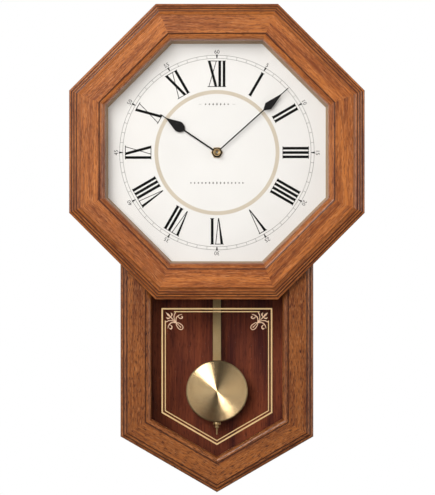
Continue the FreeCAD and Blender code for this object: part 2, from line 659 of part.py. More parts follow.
def catch():
    """A magnet inside the left of the case, and the steel plate it holds on the back of the door."""
    left = "-(dial_flat - fit_gap)"
    node(block("catch_magnet", left, "dial_reach", "-magnet_height / 2", "magnet_width",
               "door_rear - leaf - fit_gap - dial_reach", "magnet_height"))
    node(block("catch_plate", left, "door_rear - leaf", "-magnet_height / 2", "magnet_width",
               "leaf", "magnet_height"))


# ---- Motion work --------------------------------------------------------------------------------

ARBOR_REAR = "(movement_rear + 2 * shell)"


def toothed(name, teeth, module, thickness, reach, up, tooth_at):
    """An involute wheel parallel to the wall, with one tooth centred at this angle from +X."""
    count, size = int(number(teeth)), number(module)
    pressure = math.radians(number("pressure_angle"))
    pitch = size * count / 2
    base = pitch * math.cos(pressure)
    tip = pitch + number("addendum") * size
    root = pitch - number("dedendum") * size
    half_pitch = (math.pi * size - number("backlash")) / (4 * pitch)

    def half_angle(radius):
        slope = math.acos(min(base / radius, 1))
        return half_pitch + (math.tan(pressure) - pressure) - (math.tan(slope) - slope)

    def at(radius, angle):
        return FreeCAD.Vector(radius * math.cos(angle), 0, radius * math.sin(angle))

    low = max(base, root)
    flank = [low + (tip - low) * i / 4 for i in range(5)]
    edges = []
    for i in range(count):
        middle = math.radians(tooth_at) + 2 * math.pi * i / count
        rise = [at(r, middle - half_angle(r)) for r in flank]
        fall = [at(r, middle + half_angle(r)) for r in reversed(flank)]
        foot = at(root, middle - half_angle(low)), at(root, middle + half_angle(low))
        for points in (rise, fall):
            curve = Part.BSplineCurve()
            curve.interpolate(points)
            edges.append(curve.toShape())
        edges.append(Part.Arc(rise[-1], at(tip, middle), fall[0]).toShape())
        if low > root:
            edges.append(Part.LineSegment(foot[0], rise[0]).toShape())
            edges.append(Part.LineSegment(fall[-1], foot[1]).toShape())
        turn = 2 * math.pi / count
        valley = at(root, middle + turn / 2)
        next_foot = at(root, middle + turn - half_angle(low))
        edges.append(Part.Arc(foot[1], valley, next_foot).toShape())
    wire = Part.Wire(Part.__sortEdges__(edges))
    blank = make("Part::Feature", name)
    blank.Shape = Part.Face(wire).extrude(FreeCAD.Vector(0, -number(thickness), 0))
    return hang(blank, reach=reach, up=up)


def motion_work():
    """The wheels behind the dial. The minute arbor drives them, and the hour tube turns a twelfth as fast."""
    quarter = 90
    face = "wheel_face"
    drop = "-motion_drop"
    motion_step, hour_step = (quarter * 2 / number(n) for n in ("motion_teeth", "hour_teeth"))
    arbor_front = "(minute_hand_reach + hand_thickness + arbor_end)"
    arbor = rod("arbor", "0", ARBOR_REAR, "0", "arbor_radius", f"{arbor_front} - {ARBOR_REAR}")
    pinion = toothed("cannon_teeth", "cannon_teeth", "gear_module", f"{face} + 2 * end_play",
                     "motion_wheel_reach - end_play", "0", -quarter)
    node(fuse("minute_arbor", arbor, pinion))
    wheel = toothed("motion_teeth", "motion_teeth", "gear_module", face,
                    "motion_wheel_reach", drop, quarter + motion_step)
    leaves = toothed("motion_leaves", "motion_leaves", "hour_module", "wheel_step + wheel_face",
                     "motion_wheel_reach", drop, quarter)
    bore = rod("motion_bore", "0", "motion_wheel_reach - past", drop, "stud_radius + running_clearance",
               "wheel_step + wheel_face + 2 * past")
    node(cut("motion_wheel", fuse("motion_solid", wheel, leaves), bore))
    wheel = toothed("hour_teeth", "hour_teeth", "hour_module", face,
                    "hour_wheel_reach", "0", hour_step - quarter)
    tube = rod("hour_tube", "0", "hour_wheel_reach", "0", "hour_tube_radius",
               "hour_hand_reach + hand_thickness + tube_end - hour_wheel_reach")
    bore = rod("hour_bore", "0", "hour_wheel_reach - past", "0", "arbor_radius + running_clearance",
               "hour_hand_reach")
    node(cut("hour_wheel", fuse("hour_solid", wheel, tube), bore))
    down = "-setting_drop"
    pinion = toothed("setting_teeth", "setting_teeth", "gear_module", face,
                     "motion_wheel_reach", down, quarter)
    shaft = rod("setting_shaft", "0", "movement_rear - stem_bed", down, "setting_shaft",
                "motion_wheel_reach - movement_rear + 2 * stem_bed")
    knob = rod("setting_head", "0", "movement_rear - end_play - setting_knob_height", down,
               "setting_knob_radius", "setting_knob_height")
    node(fuse("setting_knob", knob, shaft, pinion))


# ---- Hands --------------------------------------------------------------------------------------

def hand(name, bore, turn, *curve):
    """A spade hand stamped from sheet, pointing up and then turned to the time shown. The curve is the
    radius of its shoulders, and a hand without one has straight shoulders."""
    wide, tip, arm = f"{name}_spade_width / 2", "tip_width / 2", f"{name}_arm_width / 2"
    start, widest = f"{name}_spade_start", f"{name}_spade_wide"
    neck, end = f"{name}_neck", f"{name}_hand_length"
    right = [(arm, "0"), (arm, start, *curve), (wide, widest), (tip, neck), (tip, end)]
    left = [(f"-{tip}", end), (f"-{tip}", neck), (f"-{wide}", widest, *curve), (f"-{arm}", start),
            (f"-{arm}", "0")]
    body = make("PartDesign::Body", f"{name}_hand")
    reach = f"{name}_hand_reach"
    pad(body, [right + left], reach, "hand_thickness")
    pad(body, [("0", "0", f"{name}_hub_radius")], reach, "hand_thickness")
    cut_through(body, [("0", "0", bore)])
    return node(hang(body, turn=turn))


def hands():
    """Hour and minute hands, and the domed nut that keeps them on the arbor."""
    hand("hour", "hour_tube_radius", "shown_minutes / 2", "spade_radius")
    hand("minute", "arbor_radius", "mod(shown_minutes, 60) * 6")
    back = "(minute_hand_reach + hand_thickness)"
    crown = "(hand_nut_height - hand_nut_edge)"
    dome = f"((hand_nut_radius ^ 2 + {crown} ^ 2) / (2 * {crown}))"
    node(turned("hand_nut", [
        (f"-{back}", "arbor_radius"), (f"-{back}", "hand_nut_radius"),
        (f"-({back} + hand_nut_edge)", "hand_nut_radius", dome), (f"-({back} + hand_nut_height)", "0"),
        (f"-({back} + arbor_end)", "0"), (f"-({back} + arbor_end)", "arbor_radius")]))


# ---- Movement -----------------------------------------------------------------------------------

def cell_places():
    """The two batteries stand upright beside the motion work."""
    return (("left", "-1"), ("right", "1"))


def movement_case():
    """The moulded housing, its rear cover, the threaded bush and the nut that fixes them to the dial."""
    inside = "(movement_width - 2 * shell)"
    depth = "(board_back - cover_front)"
    outline = middle_box("movement_width", "-movement_fall", "movement_rise")
    body = plate("housing_blank", [outline], "cover_front", depth)
    hollow = middle_box(inside, "-(movement_fall - shell)", "movement_rise - shell")
    pocket(body, [hollow], "cover_front", f"{depth} - shell")
    cut_through(body, [("0", "0", "bush_radius")])
    shelf_top = "(cell_height - cell_length / 2 - contact)"
    shelves = [block(f"cell_shelf_{hand}", f"{side} * cell_x - cell_radius - bay_margin", "cover_front",
                     f"{shelf_top} - shell", "2 * (cell_radius + bay_margin)", f"{depth} - shell", "shell")
               for hand, side in cell_places()]
    stops = [block(f"cell_stop_{hand}", f"{side} * cell_x - cell_radius - bay_margin", "cover_front",
                   "cell_height + cell_length / 2 + contact", "2 * (cell_radius + bay_margin)",
                   f"{depth} - shell", "shell")
             for hand, side in cell_places()]
    stud = rod("motion_stud", "0", "motion_wheel_reach - end_play", "-motion_drop", "stud_radius",
               "board_back - motion_wheel_reach")
    node(fuse("movement_housing", body, *shelves, *stops, stud))
    cover = plate("cover_blank", [outline], "movement_rear", "shell")
    bay = [rectangle(f"{side} * cell_x - cell_radius", f"{side} * cell_x + cell_radius",
                     "cell_height - cell_length / 2", "cell_height + cell_length / 2 - cell_nub")
           for _, side in cell_places()]
    slots = [rectangle("speaker_x - speaker_slot * 4", "speaker_x + speaker_slot * 4",
                       f"speaker_z + speaker_slot * {i - 0.5}", f"speaker_z + speaker_slot * {i + 0.5}")
             for i in range(-4, 5, 2)]
    switch_slots = [rectangle("control_x - fit_gap", "control_x + switch_width + switch_travel + fit_gap",
                              f"{z} - fit_gap", f"{z} + switch_width + fit_gap")
                    for z in ("switch_z", "switch_z - switch_step")]
    shaft_holes = [("0", "-setting_drop", "setting_shaft + running_clearance"),
                   ("control_x", "volume_z", "volume_shaft + running_clearance"),
                   ("0", "-pivot_drop", "pivot_radius")]
    cut_through(cover, [*bay, *slots, *switch_slots, *shaft_holes])
    boss = rod("arbor_boss", "0", "movement_rear", "0", "arbor_radius + shell",
               "motion_wheel_reach - boss_gap - movement_rear")
    bore = rod("arbor_bore", "0", f"{ARBOR_REAR} - end_play", "0", "arbor_radius + running_clearance",
               "motion_wheel_reach - movement_rear")
    posts = [rod(f"board_post_{side}", "circuit_x", "cover_front",
                 f"circuit_z + {side} * (circuit_height / 2 - post_inset)", "post_radius", "board_post")
             for side in (1, -1)]
    node(cut("movement_cover", fuse("cover_solid", cover, boss, *posts), bore))
    bush = rod("bush_solid", "0", "shell_front", "0", "bush_radius", "bush_front - shell_front")
    bore = rod("bush_bore", "0", "shell_front - past", "0", "hour_tube_radius + running_clearance",
               "bush_front - shell_front + 2 * past")
    node(cut("centre_bush", bush, bore))
    side = "(bush_nut_flats / 2)"
    corner = f"({side} / cos(30))"
    hexagon = [(corner, "0"), (f"{corner} / 2", side), (f"-{corner} / 2", side),
               (f"-{corner}", "0"), (f"-{corner} / 2", f"-{side}"), (f"{corner} / 2", f"-{side}")]
    node(plate("bush_nut", [hexagon, ("0", "0", "bush_radius")], "dial_reach", "bush_nut_height"))


def batteries():
    """Two cells with their contacts."""
    base = "(cell_height - cell_length / 2)"
    half = "cell_radius / 2"
    cells, contacts = [], []
    for hand, side in cell_places():
        barrel = "cell_length - cell_nub"
        can = [("0", "0"), ("cell_radius", "0"), ("cell_radius", barrel), ("cell_radius / 3", barrel),
               ("cell_radius / 3", "cell_length"), ("0", "cell_length")]
        cells.append(turned(f"cell_{hand}", can, "XZ_Plane", "V_Axis", across=f"{side} * cell_x",
                            reach="cell_reach", up=base))
        for end, at in (("low", f"{base} - contact"), ("high", f"{base} + cell_length")):
            contacts.append(block(f"contact_{hand}_{end}", f"{side} * cell_x - {half}",
                                  f"cell_reach - {half}", at, "cell_radius", "cell_radius", "contact"))
    group("batteries", *cells)
    group("battery_contacts", *contacts)


def electronics():
    """The circuit board with its chip, the coil that drives the pendulum, and the loudspeaker."""
    rear = "(cover_front + board_post)"
    left, low = "circuit_x - circuit_width / 2", "circuit_z - circuit_height / 2"
    board = block("circuit_sheet", left, rear, low, "circuit_width", "circuit_thickness", "circuit_height")
    face = f"({rear} + circuit_thickness - solder)"
    quarter, row = "circuit_width / 4", "circuit_z + parts_rise"
    chip = block("chip", "circuit_x - chip_width / 2", face, "circuit_z - chip_height / 2",
                 "chip_width", "chip_rise", "chip_height")
    can = rod("capacitor", f"circuit_x - {quarter}", face, row, "capacitor_radius", "capacitor_length")
    crystal = block("crystal", f"circuit_x + {quarter} - crystal_width / 2", face, row,
                    "crystal_width", "crystal_rise", "crystal_height")
    node(fuse("circuit_board", board, chip, can, crystal))
    winding, core, end = "coil_radius", "coil_core", "(coil_length / 2)"
    flange, inner = f"{winding} + coil_flange", f"({end} - coil_flange)"
    tip = f"({end} + coil_tip)"
    spool = [("0", f"-{tip}"), (core, f"-{tip}"), (core, f"-{end}"), (flange, f"-{end}"),
             (flange, f"-{inner}"), (winding, f"-{inner}"), (winding, inner), (flange, inner),
             (flange, end), (core, end), (core, tip), ("0", tip)]
    node(turned("drive_coil", spool, "XZ_Plane", "V_Axis", up="-pivot_drop",
                reach="cover_front + coil_radius + coil_flange"))
    rim, throat, magnet = "speaker_radius", "(speaker_radius / 3)", "(speaker_radius / 2)"
    front = "(cover_front + speaker_depth)"
    magnet_back = f"({front} - magnet_depth)"
    throat_back = f"({magnet_back} - speaker_cone)"
    cone = [("-cover_front", f"{rim} - speaker_edge"), ("-cover_front", rim),
            ("-(cover_front + speaker_edge)", rim), (f"-{magnet_back}", magnet), (f"-{front}", magnet),
            (f"-{front}", "0"), (f"-{throat_back}", "0"), (f"-{throat_back}", throat)]
    node(turned("speaker", cone, across="speaker_x", up="speaker_z"))


def controls():
    """The volume knob and two slide switches on the back of the movement."""
    back = "(movement_rear - fit_gap)"
    head = rod("volume_head", "control_x", f"{back} - volume_height", "volume_z",
               "volume_radius", "volume_height")
    shaft = rod("volume_stem", "control_x", f"{back} - stem_bed", "volume_z",
                "volume_shaft", "shell + volume_stem")
    node(fuse("volume_knob", head, shaft))
    foot_width = "switch_width + 2 * switch_lip"
    for name, z in (("melody_switch", "switch_z"), ("night_switch", "switch_z - switch_step")):
        thumb = block(f"{name}_thumb", "control_x", "movement_rear - thumb_rise", z,
                      "switch_width", "thumb_rise + shell + 2 * switch_play", "switch_width")
        foot = block(f"{name}_foot", "control_x - switch_lip", "cover_front + switch_play",
                     f"{z} - switch_lip", foot_width, "switch_foot", foot_width)
        node(fuse(name, thumb, foot))


# ---- Pendulum -----------------------------------------------------------------------------------

def pendulum():
    """The leader on its pivot, the flat rod, the brass bob and the nut that raises it."""
    strip_back = "(pendulum_reach - strip_thickness / 2)"
    leader_back = f"({strip_back} - leader_thickness)"
    neck = f"({leader_back} - leader_play)"
    rear = f"({neck} - pivot_head)"
    node(turned("pendulum_pivot", [
        (f"-{rear}", "0"), ("-cover_front", "0"), ("-cover_front", "pivot_radius"),
        (f"-{neck}", "pivot_radius"), (f"-{neck}", "2 * pivot_radius"), (f"-{rear}", "2 * pivot_radius")],
        up="-pivot_drop"))
    hook = "(pivot_drop + leader_length - hook_inset)"
    outline = middle_box("leader_width", "-(pivot_drop + leader_length)", "-(pivot_drop - leader_top)")
    body = plate("leader_blank", [outline], leader_back, "leader_thickness")
    pad(body, [("0", f"-{hook}", "hook_radius")], leader_back,
        "leader_thickness + strip_thickness + hook_stand")
    cut_through(body, [("0", "-pivot_drop", "pivot_radius + running_clearance")])
    body.Label = "pendulum_leader"
    node(body)
    low = "(bob_drop + strip_past_bob)"
    outline = middle_box("strip_width", f"-{low}", f"-({hook} - strip_top)")
    strip = plate("strip", [outline], strip_back, "strip_thickness")
    cut_through(strip, [("0", f"-{hook}", "hook_radius + running_clearance")])
    stem = upright("rating_screw", "0", "pendulum_reach", f"-({low} + rating_length)", "rating_radius",
                   "rating_length + rating_bed")
    node(fuse("pendulum_rod", strip, stem))
    crown = "(bob_crown - bob_rim)"
    curve = f"((bob_radius ^ 2 + {crown} ^ 2) / (2 * {crown}))"
    disc = turned("bob_disc", [
        ("-bob_back", "0"), ("-bob_back", "bob_radius"), ("-(bob_back + bob_rim)", "bob_radius", curve),
        ("-(bob_back + bob_crown)", "0")], up="-bob_drop")
    slot = "(strip_width / 2 + fit_gap)"
    strap_back = f"({strip_back} - fit_gap - bob_strap)"
    strap = block("bob_strap", f"-({slot} + bob_strap)", strap_back, "-bob_drop - strip_width / 2",
                  f"2 * ({slot} + bob_strap)", f"bob_back - {strap_back} + strap_bed", "strip_width")
    way = block("strap_slot", f"-{slot}", f"{strip_back} - fit_gap", "-bob_drop - strip_width", f"2 * {slot}",
                f"bob_back - {strip_back} + fit_gap", "2 * strip_width")
    node(fuse("bob", disc, cut("bob_bridge", strap, way)))
    thread = "rating_radius + running_clearance"
    nut = [(thread, "0"), ("nut_neck", "0"), ("nut_neck", "nut_step"), ("nut_radius", "nut_step"),
           ("nut_radius", "nut_height"), (thread, "nut_height")]
    node(turned("rating_nut", nut, "XZ_Plane", "V_Axis", reach="pendulum_reach",
                up="-(nut_top + nut_height)"))


# ---- The whole clock ----------------------------------------------------------------------------

case_screws, door_screws = fixing_screws()
case_boards(case_screws)
backboard()
hanger(case_screws)
group("case_screws", *case_screws)
group("door_screws", *door_screws)
dial_supports()
dial()
trunk_frame()
trunk_window()
door_rails(door_screws)
door_window()
hinges(case_screws, door_screws)
catch()
movement_case()
motion_work()
hands()
batteries()
electronics()
controls()
pendulum()
doc.recompute()

failed = [thing.Label for thing in doc.Objects if {"Invalid", "Error"} & set(thing.State)]
failed += [thing.Label for thing in NODES if thing.Shape.isNull() or not thing.Shape.isValid()]
if failed:
    raise RuntimeError(f"These pieces did not build: {failed}")
os.makedirs("parts", exist_ok=True)
for thing in NODES:
    thing.Shape.exportStep(f"parts/{thing.Label}.step")
print(f"{len(NODES)} nodes")
for thing in NODES:
    box = thing.Shape.BoundBox
    low = f"{box.XMin:.1f} {box.YMin:.1f} {box.ZMin:.1f}"
    high = f"{box.XMax:.1f} {box.YMax:.1f} {box.ZMax:.1f}"
    print(f"{thing.Label}: {len(thing.Shape.Solids)} solids, {thing.Shape.Volume:.0f} mm3, {low} to {high}")
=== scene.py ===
# %% [markdown]
# # An octagon drop wall clock
#
# The clock is an oak case with an eight-sided glazed door over the dial and a
# five-sided window over the pendulum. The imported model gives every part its
# place and size, in metres: the front looks towards -Y, the wall is the plane
# y = 0, and the hands turn about a line through x = 0. This file gives those
# parts their finishes, builds again in finer detail the bob and two brass nuts,
# and adds what is printed on the dial and on the lower glass.

import math
import random

import bmesh
import bpy
from mathutils import Matrix, Vector


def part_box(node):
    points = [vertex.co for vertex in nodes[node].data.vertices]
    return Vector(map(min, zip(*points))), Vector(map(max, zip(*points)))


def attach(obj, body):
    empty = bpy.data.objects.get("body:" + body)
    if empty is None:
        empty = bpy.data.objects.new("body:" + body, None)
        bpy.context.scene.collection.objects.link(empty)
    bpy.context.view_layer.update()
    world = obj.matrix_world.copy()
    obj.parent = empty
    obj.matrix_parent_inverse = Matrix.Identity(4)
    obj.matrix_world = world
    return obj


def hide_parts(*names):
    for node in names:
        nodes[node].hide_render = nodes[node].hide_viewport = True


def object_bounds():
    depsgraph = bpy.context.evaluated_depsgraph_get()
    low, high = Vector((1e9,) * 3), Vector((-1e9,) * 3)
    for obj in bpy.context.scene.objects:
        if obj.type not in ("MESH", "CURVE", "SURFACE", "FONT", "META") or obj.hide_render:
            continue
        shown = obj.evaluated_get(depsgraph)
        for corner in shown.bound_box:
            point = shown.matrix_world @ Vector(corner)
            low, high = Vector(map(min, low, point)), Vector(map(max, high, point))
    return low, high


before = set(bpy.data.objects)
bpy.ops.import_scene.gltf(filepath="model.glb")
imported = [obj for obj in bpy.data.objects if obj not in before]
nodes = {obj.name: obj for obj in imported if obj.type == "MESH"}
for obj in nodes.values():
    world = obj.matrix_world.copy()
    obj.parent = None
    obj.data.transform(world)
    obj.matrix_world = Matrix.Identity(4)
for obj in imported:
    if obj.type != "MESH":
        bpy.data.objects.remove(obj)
cad_low, cad_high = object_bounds()
random.seed(8)
print("parts:", len(nodes), "box:", cad_low[:], cad_high[:])

# %% [markdown]
# ## Places to measure from
#
# Every new piece is placed from the parts that are already there. The hands'
# nut is centred on the line that the hands turn about, so its box gives the
# middle of the dial, and the dial's sheet gives the plane that is printed on.

# %% Read the places
MM = 0.001


def middle(node):
    low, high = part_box(node)
    return (low + high) / 2


arbor = middle("hand_nut")
arbor.x = 0.0
dial_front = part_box("dial_plate")[0].y
glass_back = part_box("trunk_glass")[1].y
door_edge = cad_high.x
print("arbor:", arbor[:], "dial face at y =", dial_front)

# %% [markdown]
# ## Shader sums written as sums
#
# A material is a tree of nodes, and its arithmetic is one Math node for each
# sign. Writing those by hand hides the idea, so this small class stands for a
# socket, and adding or multiplying it makes the Math node. The reflected forms
# let a plain number come first in a sum, as in 1 - mask.

# %% A socket that can be added to
class Amount:
    def __init__(self, tree, socket):
        self.tree = tree
        self.socket = socket

    def sum(self, operation, *values):
        made = self.tree.nodes.new("ShaderNodeMath")
        made.operation = operation
        for socket, value in zip(made.inputs, values):
            if isinstance(value, Amount):
                self.tree.links.new(value.socket, socket)
            else:
                socket.default_value = value
        return Amount(self.tree, made.outputs[0])

    def __add__(self, other):
        return self.sum("ADD", self, other)

    def __radd__(self, other):
        return self.sum("ADD", other, self)

    def __sub__(self, other):
        return self.sum("SUBTRACT", self, other)

    def __rsub__(self, other):
        return self.sum("SUBTRACT", other, self)

    def __mul__(self, other):
        return self.sum("MULTIPLY", self, other)

    def __truediv__(self, other):
        return self.sum("DIVIDE", self, other)

    def __abs__(self):
        return self.sum("ABSOLUTE", self)

    def over(self, other):
        return self.sum("GREATER_THAN", self, other)

    def most(self, other):
        return self.sum("MAXIMUM", self, other)

    def wave(self):
        return self.sum("SINE", self)

    def held(self):
        """Kept between 0 and 1."""
        return self.sum("MINIMUM", self.most(0.0), 1.0)


print("sums ready")

# %% [markdown]
# ## One maker for every other node
#
# Each finish below is a material with a tree. One method makes any node: its
# type, then its settings, which have to come before the sockets because they
# decide which sockets there are, and then the values or links of the sockets.
# Colours go through a Mix node, since a Math node would turn them grey.

# %% The tree of a finish
class Finish:
    def __init__(self, holder):
        self.holder = bpy.data.materials.new(holder) if isinstance(holder, str) else holder
        self.holder.use_nodes = True
        self.tree = self.holder.node_tree
        self.tree.nodes.clear()

    def node(self, kind, settings=None, values=None, out=0):
        made = self.tree.nodes.new("ShaderNode" + kind)
        for key, value in (settings or {}).items():
            setattr(made, key, value)
        for key, value in (values or {}).items():
            if isinstance(value, Amount):
                self.tree.links.new(value.socket, made.inputs[key])
            else:
                made.inputs[key].default_value = value
        return Amount(self.tree, made.outputs[out]) if made.outputs else None

    def place(self):
        return self.node("TexCoord", out="Object")

    def moved(self, vector, turn=(0, 0, 0), scale=(1, 1, 1), shift=(0, 0, 0)):
        return self.node("Mapping", values={
            "Vector": vector, "Rotation": turn, "Scale": scale, "Location": shift})

    def axis(self, vector, letter):
        return self.node("SeparateXYZ", values={0: vector}, out=letter)

    def noise(self, vector, scale, detail=3.0, rough=0.55, twist=0.0):
        return self.node("TexNoise", values={
            "Vector": vector, "Scale": scale, "Detail": detail, "Roughness": rough, "Distortion": twist})

    def mix(self, part, first, second):
        values = {0: part}
        for key, colour in ((6, first), (7, second)):
            values[key] = colour if isinstance(colour, Amount) else (*colour, 1.0)
        return self.node("Mix", {"data_type": "RGBA"}, values, out=2)

    def bump(self, height, strength, distance):
        return self.node("Bump", values={"Height": height, "Strength": strength, "Distance": distance})

    def done(self, colour, **sockets):
        values = {"Base Color": colour if isinstance(colour, Amount) else (*colour, 1.0)}
        for key, value in sockets.items():
            values[key.replace("_", " ")] = value
        shader = self.node("BsdfPrincipled", values=values)
        self.node("OutputMaterial", values={"Surface": shader})
        return self.holder


print("finishes can be written")

# %% [markdown]
# ## Oak
#
# Oak is an open-grained wood: broad lighter and darker bands, fine streaks, and
# short dark pores, all drawn out along the board. Noise that is stretched along
# one direction gives all three, so the coordinates are first turned to lie along
# the board and then squeezed across it. The lacquer over it is a satin coat.
#
# The narrow quirks between mouldings are darkened by stain and by painted shade,
# which is a line at a known distance from the frame's edge, so that distance is
# measured in the material.
# Where one part holds a left and a right board, the absolute value of x in place
# of x turns the grain and the edge of both with a single material, and a shift of
# the right board's y keeps their figure from matching.

# %% The oak recipe
OAK_LIGHT = (0.410, 0.132, 0.029)
OAK_DARK = (0.160, 0.038, 0.009)
OAK_PORE = (0.060, 0.014, 0.006)
# A light colour for painted glints of the lacquer on the open pores.
OAK_PORE_GLINT = (0.620, 0.270, 0.110)
# The colour of the quirk lines: stain, deepened as painted shade in the creases.
OAK_STAIN_AND_SHADE = (0.022, 0.005, 0.004)
QUIRK = 1.5 * MM
COAT = 0.3
PAIR_SHIFT = 3.7


def oak(name, angle, number, edge=None, quirks=(), tone=1.0, paired=False, open_grain=0.6):
    """Oak with its grain at an angle from +X towards +Z.

    edge is (normal, reach) of a moulded edge, and quirks are distances in from it."""
    f = Finish(name)
    place = f.place()
    shift = (0.37 * number, 0.11 * number, 0.23 * number)
    if paired:
        x, y, z = (f.axis(place, letter) for letter in "XYZ")
        place = f.node("CombineXYZ", values={0: abs(x), 1: y + x.over(0.0) * PAIR_SHIFT, 2: z})
    along = f.moved(place, (0, angle, 0), shift=shift)
    bands = f.noise(f.moved(along, scale=(5, 46, 46)), 1.0, 3.0, 0.5, 0.9)
    rings = (f.noise(f.moved(along, scale=(2.2, 30, 30)), 1.0, 1.0, 0.4) * 46).wave() * 0.5 + 0.5
    streaks = f.noise(f.moved(along, scale=(22, 640, 640)), 1.0, 4.0, 0.65)
    pores = ((f.noise(f.moved(along, scale=(130, 1300, 1300)), 1.0, 1.0) - 0.545) * 10.0).held()
    # Light flecks on the pores are painted glints of the lacquer, put into the colour.
    aside = f.moved(along, scale=(110, 1200, 1200), shift=(5, 5, 5))
    pore_glints = ((f.noise(aside, 1.0, 1.0) - 0.56) * 9.0).held()
    tint = (bands * 1.9 + rings * 0.25 + streaks * 2.6 - 1.9).held()
    colour = f.mix(tint, tuple(c * tone for c in OAK_DARK), tuple(c * tone for c in OAK_LIGHT))
    colour = f.mix(pores * open_grain, colour, tuple(c * tone for c in OAK_PORE))
    colour = f.mix(pore_glints * open_grain * 0.45, colour, tuple(c * tone for c in OAK_PORE_GLINT))
    coat = COAT
    if edge:
        normal, reach = edge
        across = f.node("VectorMath", {"operation": "DOT_PRODUCT"}, {0: place, 1: normal}, out="Value")
        # Each quirk is a dark line, partly stain and partly painted shade in the crease.
        stain = 0.0
        for quirk in quirks:
            line = (1.0 - abs(reach - quirk - across) / QUIRK).held()
            stain = line.most(stain)
        colour = f.mix(stain, colour, OAK_STAIN_AND_SHADE)
        coat = COAT - stain * COAT
    height = streaks * 0.5 - pores * 0.8
    return f.done(
        colour, Roughness=0.34 + pores * 0.25 + streaks * 0.10, Normal=f.bump(height, 0.3, 0.00025),
        Coat_Weight=coat, Coat_Roughness=0.2, Specular_IOR_Level=0.3)


print("oak can be made")

# %% [markdown]
# ## The eight door rails
#
# Each rail of the door is cut from its own board, so its grain runs along it and
# its figure is its own. The rail's direction is an eighth of a turn further on
# each time, and its outer edge is as far from the middle as the door is half
# wide. The dark lines, stain and painted shade together, stand where the reeds
# meet and before the inner bead.

# %% Give each rail its own board
REEDS = (3.5 * MM, 7.0 * MM, 10.5 * MM, 41.5 * MM)
RAILS = ("right", "upper_right", "top", "upper_left", "left", "lower_left", "bottom", "lower_right")


def dress(material, *names):
    for name in names:
        mesh = nodes[name].data
        mesh.materials.clear()
        mesh.materials.append(material)


for number, side in enumerate(RAILS):
    out = math.radians(45 * number)
    normal = Vector((math.cos(out), 0, math.sin(out)))
    edge = (normal, door_edge + normal.dot(arbor))
    board = oak(f"oak_door_{side}", out + math.pi / 2, number, edge, REEDS, 1.0 + random.uniform(-0.06, 0.06))
    dress(board, f"door_rail_{side}")
print("rails dressed:", len(RAILS))

# %% [markdown]
# ## The lower frame and the boards of the case
#
# The lower frame has two upright stiles and two rails that meet at the bottom
# point. Its boards are more open in the grain than the door's, and darker as
# painted shade for the weaker light lower down.
# Behind the frames the case is plain boards of the same oak: upright grain on the
# upright boards, level grain on the top, and sloping grain on the boards that lean.

# %% Dress the frame and the boards
STILE_REEDS = (4.5 * MM, 9.0 * MM, 34.5 * MM)
# Painted shade: the lower frame is darkened for the weaker light lower down.
LOWER_SHADE_TONE = 0.65
CASE_TONE = 0.8
lean = math.radians(30)
eighth = math.radians(45)
foot_normal = Vector((math.sin(lean), 0, -math.cos(lean)))
foot_edge = (foot_normal, foot_normal.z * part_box("foot_rails")[0].z)
stile_edge = (Vector((1, 0, 0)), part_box("trunk_stiles")[1].x)
upright_oak = oak("oak_upright", math.pi / 2, 20, tone=CASE_TONE)
level_oak = oak("oak_level", 0.0, 21, tone=CASE_TONE)
dress(oak("oak_stiles", math.pi / 2, 9, stile_edge, STILE_REEDS, LOWER_SHADE_TONE, True, 1.0), "trunk_stiles")
dress(oak("oak_foot_rails", lean, 10, foot_edge, STILE_REEDS, LOWER_SHADE_TONE, True, 1.0), "foot_rails")
dress(oak("oak_case_upper", -eighth, 11, tone=CASE_TONE, paired=True), "case_upper_sides")
dress(oak("oak_case_shoulders", eighth, 12, tone=CASE_TONE, paired=True), "case_shoulders")
dress(oak("oak_case_foot", lean, 13, tone=CASE_TONE, paired=True), "trunk_feet")
dress(upright_oak, "case_sides", "trunk_sides")
dress(level_oak, "case_top", "door_beading", "trunk_beading", "cross_rail", "dial_blocks", "hanger_block")

# %% [markdown]
# ## The back board
#
# The board behind the pendulum is stained a deep red-brown, so the brass stands
# out. It is a veneered panel with upright grain. Its pores are filled darker than
# the wood, and the finish is duller than the lacquer on the frame.

# %% Red-brown stained veneer
def stained_veneer():
    f = Finish("stained_veneer")
    along = f.moved(f.place(), (0, math.radians(90), 0))
    bands = f.noise(f.moved(along, scale=(4, 34, 34)), 1.0, 3.0, 0.55, 0.6)
    streaks = f.noise(f.moved(along, scale=(14, 420, 420)), 1.0, 4.0, 0.65)
    pores = ((f.noise(f.moved(along, scale=(80, 1000, 1000)), 1.0, 1.0) - 0.56) * 8.0).held()
    colour = f.mix((bands * 2.6 + streaks * 1.4 - 1.55).held(), (0.055, 0.010, 0.008), (0.240, 0.056, 0.022))
    colour = f.mix(pores * 0.7, colour, (0.028, 0.006, 0.004))
    return f.done(
        colour, Roughness=0.5 + streaks * 0.12, Normal=f.bump(streaks * 0.6 - pores, 0.22, 0.0002),
        Specular_IOR_Level=0.25)


def pressed_board():
    f = Finish("pressed_board")
    specks = f.noise(f.place(), 900.0, 4.0, 0.7)
    clouds = f.noise(f.place(), 30.0)
    colour = f.mix((specks * 1.2 + clouds * 0.4 - 0.3).held(), (0.11, 0.062, 0.032), (0.25, 0.155, 0.085))
    return f.done(colour, Roughness=0.75 + specks * 0.1, Normal=f.bump(specks, 0.3, 0.0003))


dress(stained_veneer(), "backboard")
dress(pressed_board(), "dial_board")
print("boards dressed")

# %% [markdown]
# ## Glass
#
# Both panes are thin clear sheet glass. A pane that bends and tints light is slow
# to render and hardly looks different, so the glass is mostly let through by its
# Alpha and keeps a sharp gloss. A faint uneven film makes the gloss wander.

# %% Clear glass
def clear_glass():
    f = Finish("clear_glass")
    film = f.noise(f.place(), 14.0, 4.0)
    return f.done((0.004, 0.006, 0.005), Roughness=0.02 + film * 0.04, Alpha=0.03 + film * 0.03,
                  IOR=1.5, Specular_IOR_Level=0.45)


